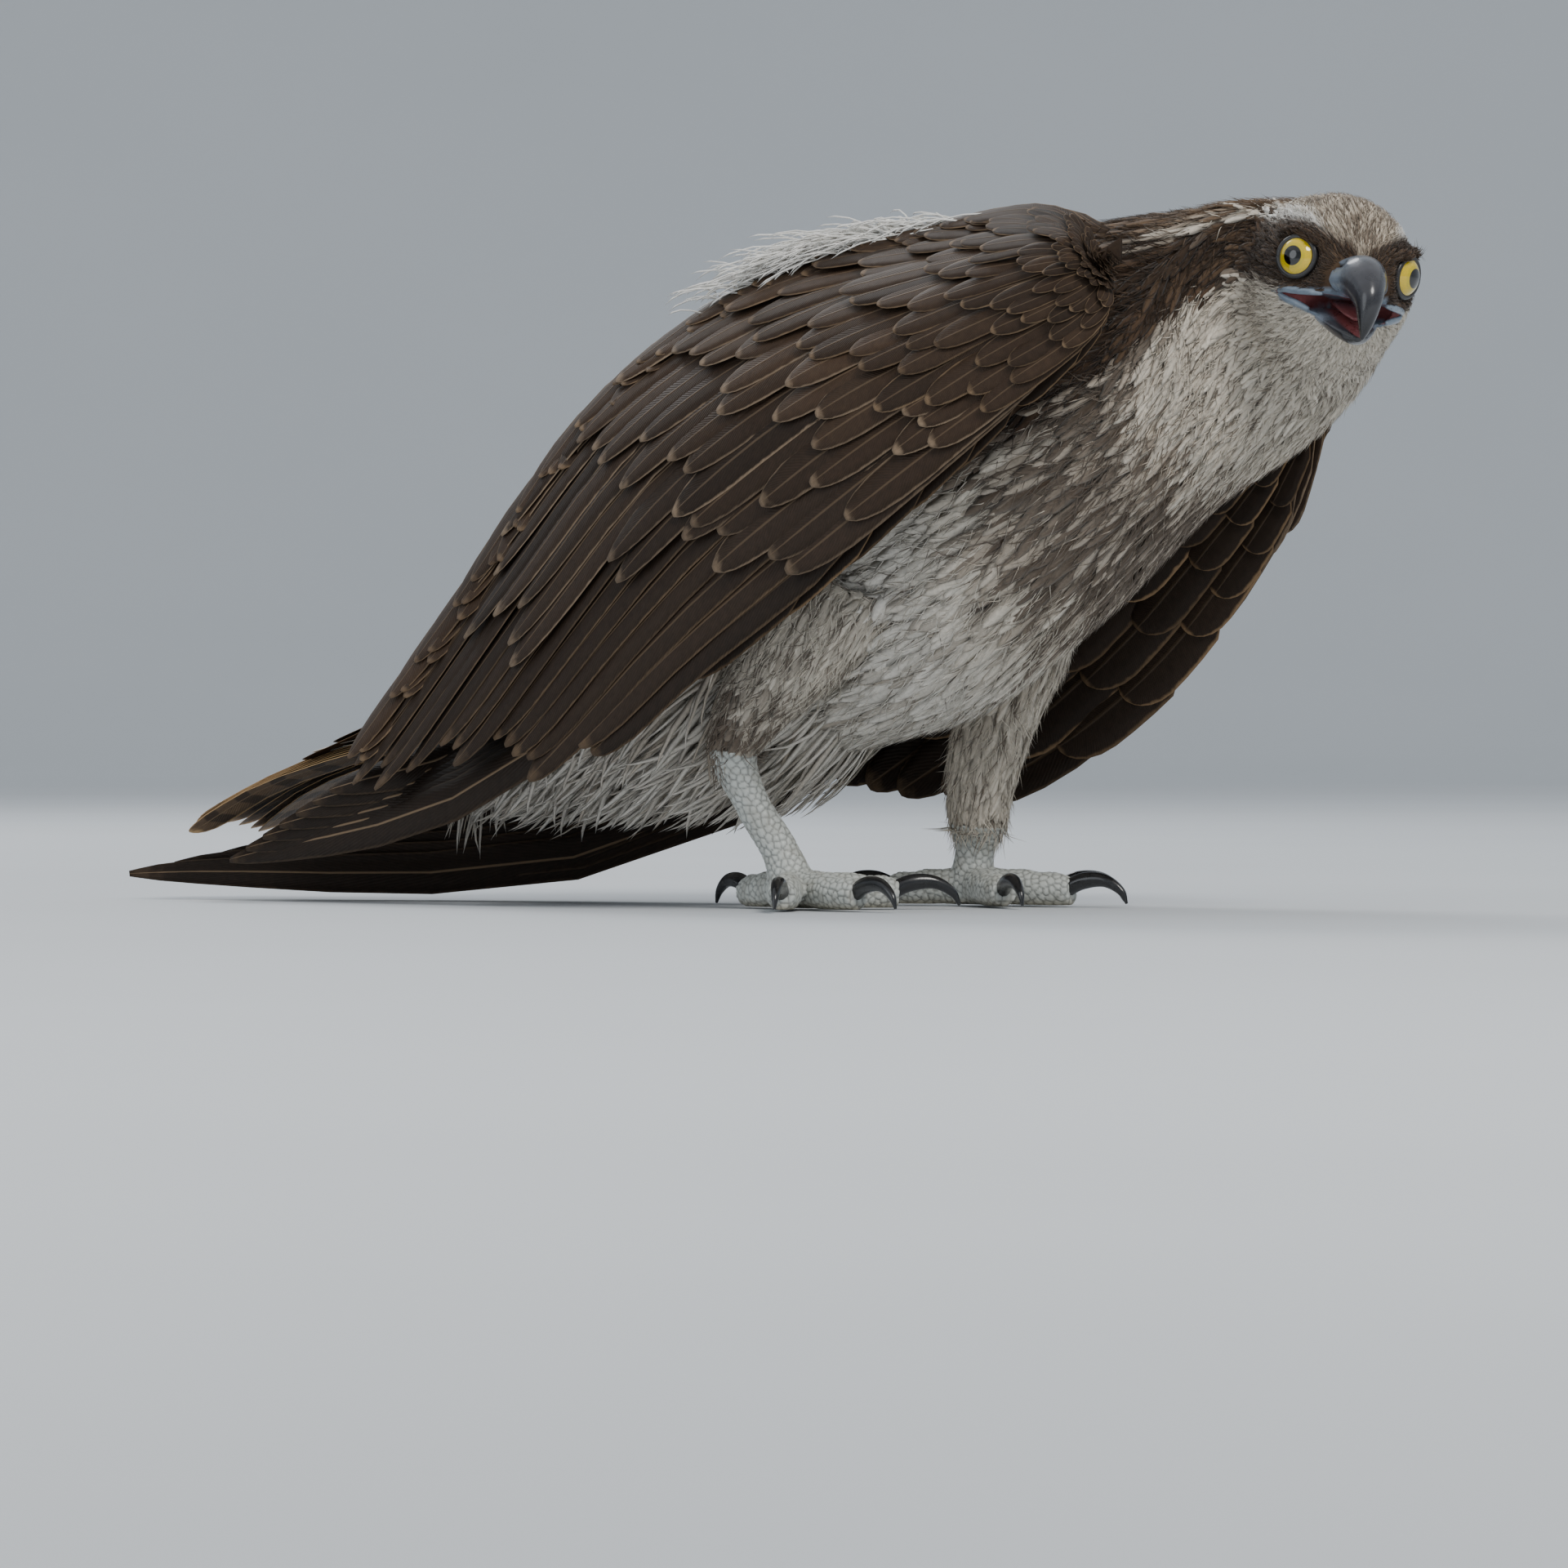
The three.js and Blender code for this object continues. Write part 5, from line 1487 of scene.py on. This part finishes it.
# How far each foot is turned, and each toe's turn from that and its share of the full length.
FEET = {
    "right": (-28, [(-38, 0.88), (4, 1), (62, 0.95), (178, 0.8)]),
    "left": (6, [(38, 0.88), (-4, 1), (-50, 0.95), (184, 0.8)]),
}


def toe_spots(side, angle):
    total = math.radians(FEET[side][0] + angle)
    along = direction(math.cos(total), math.sin(total), 0)
    return np.cross(UP, along), lambda forward, up: FOOT_AT[side] + along * forward * MM + UP * up * MM


# Rings of a toe: how far out in toe lengths, and height, half width and the way up and down in toe radii.
TOE_RINGS = [(0.02, 1.15, 1.1, 1.1, 1.2), (0.20, 1.10, 0.96, 1.08, 1.1), (0.36, 1.08, 0.95, 0.98, 1),
             (0.54, 0.98, 0.95, 1.08, 1), (0.7, 0.93, 0.98, 0.95, 1.02), (0.86, 0.9, 0.88, 0.98, 0.95),
             (1, 0.88, 0.74, 0.7, 0.8)]
# Rings of a claw: how far past the toe in claw lengths, height in millimetres, and size in claw radii.
CLAW_RINGS = [(-0.16, 5.6, 0.9, 1), (0.2, 9.2, 0.92, 1), (0.62, 9.4, 0.72, 0.78), (0.92, 5.4, 0.45, 0.5),
              (1.02, 1.1, 0.16, 0.16)]


def toe_keys(side, angle, scale):
    across, spot = toe_spots(side, angle)
    length, r = TOE_LENGTH * scale, TOE_RADIUS
    return [key(spot(out * length, r * high), r * half, r * top, r * bottom, across)
            for out, high, half, top, bottom in TOE_RINGS]


def claw_keys(side, angle, scale):
    across, spot = toe_spots(side, angle)
    start, r = TOE_LENGTH * scale, CLAW_RADIUS
    return [key(spot(start + out * CLAW_LENGTH, high), r * half, r * tall, r * tall, across)
            for out, high, half, tall in CLAW_RINGS]


SCALE_GAP, SCALE_HEIGHT, SOLE_HEIGHT = 2.2 * MM, 0.45 * MM, 0.3 * MM


def raised_scales(points, normals):
    """Rounded scales pressed out of a skin: the new points, and 1 on a scale falling to 0 between two."""
    middles = tree_of(points[thinned(points, np.full(len(points), SCALE_GAP), rng.permutation(len(points)))])
    pairs = [middles.find_n(point, 2) for point in points]
    apart = np.array([pair[1][2] - pair[0][2] for pair in pairs])
    raised = smooth(apart, 0.0, SCALE_GAP * 0.42)
    return points + normals * ((raised - 0.7) * SCALE_HEIGHT)[:, None], raised


LEG_SKIN = np.array([0.60, 0.62, 0.58])
NEAR_FLOOR_SKIN = np.array([0.36, 0.33, 0.25])
for side, (_, toes) in FEET.items():
    keys = LEG_KEYS[side]
    ankle = (ANKLE_KEY[side] - 0.02) / (len(keys) - 1)
    limb = lofted(keys, 60, 40, start=ankle, grow=-0.8 * MM)
    parts = [limb] + [lofted(toe_keys(side, angle, scale), 40, 28) for angle, scale in toes]
    foot_points, foot_triangles = flesh(f"leg_{side}_flesh", parts, None, LEG_VOXEL)
    foot_normals = vertex_normals(foot_points, foot_triangles)
    foot_points, raised = raised_scales(foot_points, foot_normals)
    foot_points[:, 2] = np.maximum(foot_points[:, 2], SOLE_HEIGHT)
    # Within 4 mm of the floor the skin turns darker and browner.
    low = smooth(foot_points[:, 2], 0.004, 0.0)
    tone = mixed(LEG_SKIN, NEAR_FLOOR_SKIN, low)
    away = (foot_points - FOOT_AT[side]) @ np.array([[1, 0], [0, 1], [0.6, 0.8]])
    away = away * 3.2 * np.where(foot_normals[:, 2:3] < -0.3, -1, 1)
    foot = dressed(f"leg_skin_{side}", foot_points, foot_triangles, SCALES, "scales",
                   mixed(tone * 0.42, tone, raised), OFBake=0.5 + away)
    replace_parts(foot, f"tarsus_{side}", f"foot_{side}")
    for number, (angle, scale) in enumerate(toes, 1):
        claw = lofted(claw_keys(side, angle, scale), 40, 28)
        made = plain_piece(f"talon_{side}_{number}", claw, HORN, "horn", (0.008, 0.008, 0.009))
        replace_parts(made, f"claw_{side}_{number}")

# ---------------------------------------------------------------- stage, light and camera
AIM = at(-31.5 * 0.866, -31.5 * 0.5, 45)
CAMERA_AWAY, CAMERA_AZIMUTH, CAMERA_RISE, SEEN_WIDTH = 3.4, -60, 0.6, 0.576
SENSOR = 36

# A floor that rises softly into a wall all round, so that no horizon shows from any side.
FLAT, WALL_AT, WALL_UP, TURNS, FLOOR_UNDER = 4.4, 7.5, 4.5, 96, 0.5 * MM
bend = np.linspace(0, 1, 25)
bend = bend * np.pi / 2
profile = np.stack([FLAT + (WALL_AT - FLAT) * np.sin(bend), WALL_UP * (1 - np.cos(bend))], 1)
around = 2 * np.pi * np.arange(TURNS) / TURNS
stage_points = [[0, 0, -FLOOR_UNDER]] + [[r * math.cos(a), r * math.sin(a), z - FLOOR_UNDER]
                                         for r, z in profile for a in around]
stage_triangles = [(0, 1 + j, 1 + (j + 1) % TURNS) for j in range(TURNS)]
for i in range(len(profile) - 1):
    for j in range(TURNS):
        a, b = 1 + i * TURNS + j, 1 + i * TURNS + (j + 1) % TURNS
        stage_triangles += [(a, a + TURNS, b + TURNS), (a, b + TURNS, b)]
pale = grained("pale_floor", 0.85, (3.0, 2.0), (0.97, 1.03), colour=(0.66, 0.69, 0.72, 1))
floor = make_mesh("floor", stage_points, stage_triangles, pale)

rise, azimuth = math.radians(CAMERA_RISE), math.radians(CAMERA_AZIMUTH)
back = np.array([math.sin(azimuth) * math.cos(rise), -math.cos(azimuth) * math.cos(rise), math.sin(rise)])
camera_data = bpy.data.cameras.new("camera")
camera_data.sensor_width = SENSOR
camera_data.lens = SENSOR * CAMERA_AWAY / SEEN_WIDTH
camera_data.clip_end = 60
camera = bpy.data.objects.new("camera", camera_data)
camera.location = AIM + back * CAMERA_AWAY
camera.rotation_euler = Vector(-back).to_track_quat("-Z", "Y").to_euler()
bpy.context.scene.collection.objects.link(camera)
bpy.context.scene.camera = camera


def soft_light(name, place, size, power, colour=(1, 1, 1)):
    light = bpy.data.lights.new(name, "AREA")
    light.shape, light.size, light.energy, light.color = "DISK", size, power, colour
    lamp = bpy.data.objects.new(name, light)
    lamp.location = place
    lamp.rotation_euler = (Vector(AIM) - Vector(place)).to_track_quat("-Z", "Y").to_euler()
    bpy.context.scene.collection.objects.link(lamp)


soft_light("key_light", (-1.3, -1.9, 2.2), 1.1, 50, (1.0, 0.97, 0.93))
soft_light("fill_light", (-2.4, 1.1, 0.9), 1.8, 12, (0.92, 0.96, 1.0))
soft_light("rim_light", (1.3, 1.6, 1.9), 1.2, 24)
world = bpy.data.worlds.new("sky")
world.use_nodes = True
sky = world.node_tree.nodes["Background"].inputs
sky["Color"].default_value = (0.70, 0.735, 0.77, 1)
sky["Strength"].default_value = 0.85
bpy.context.scene.world = world
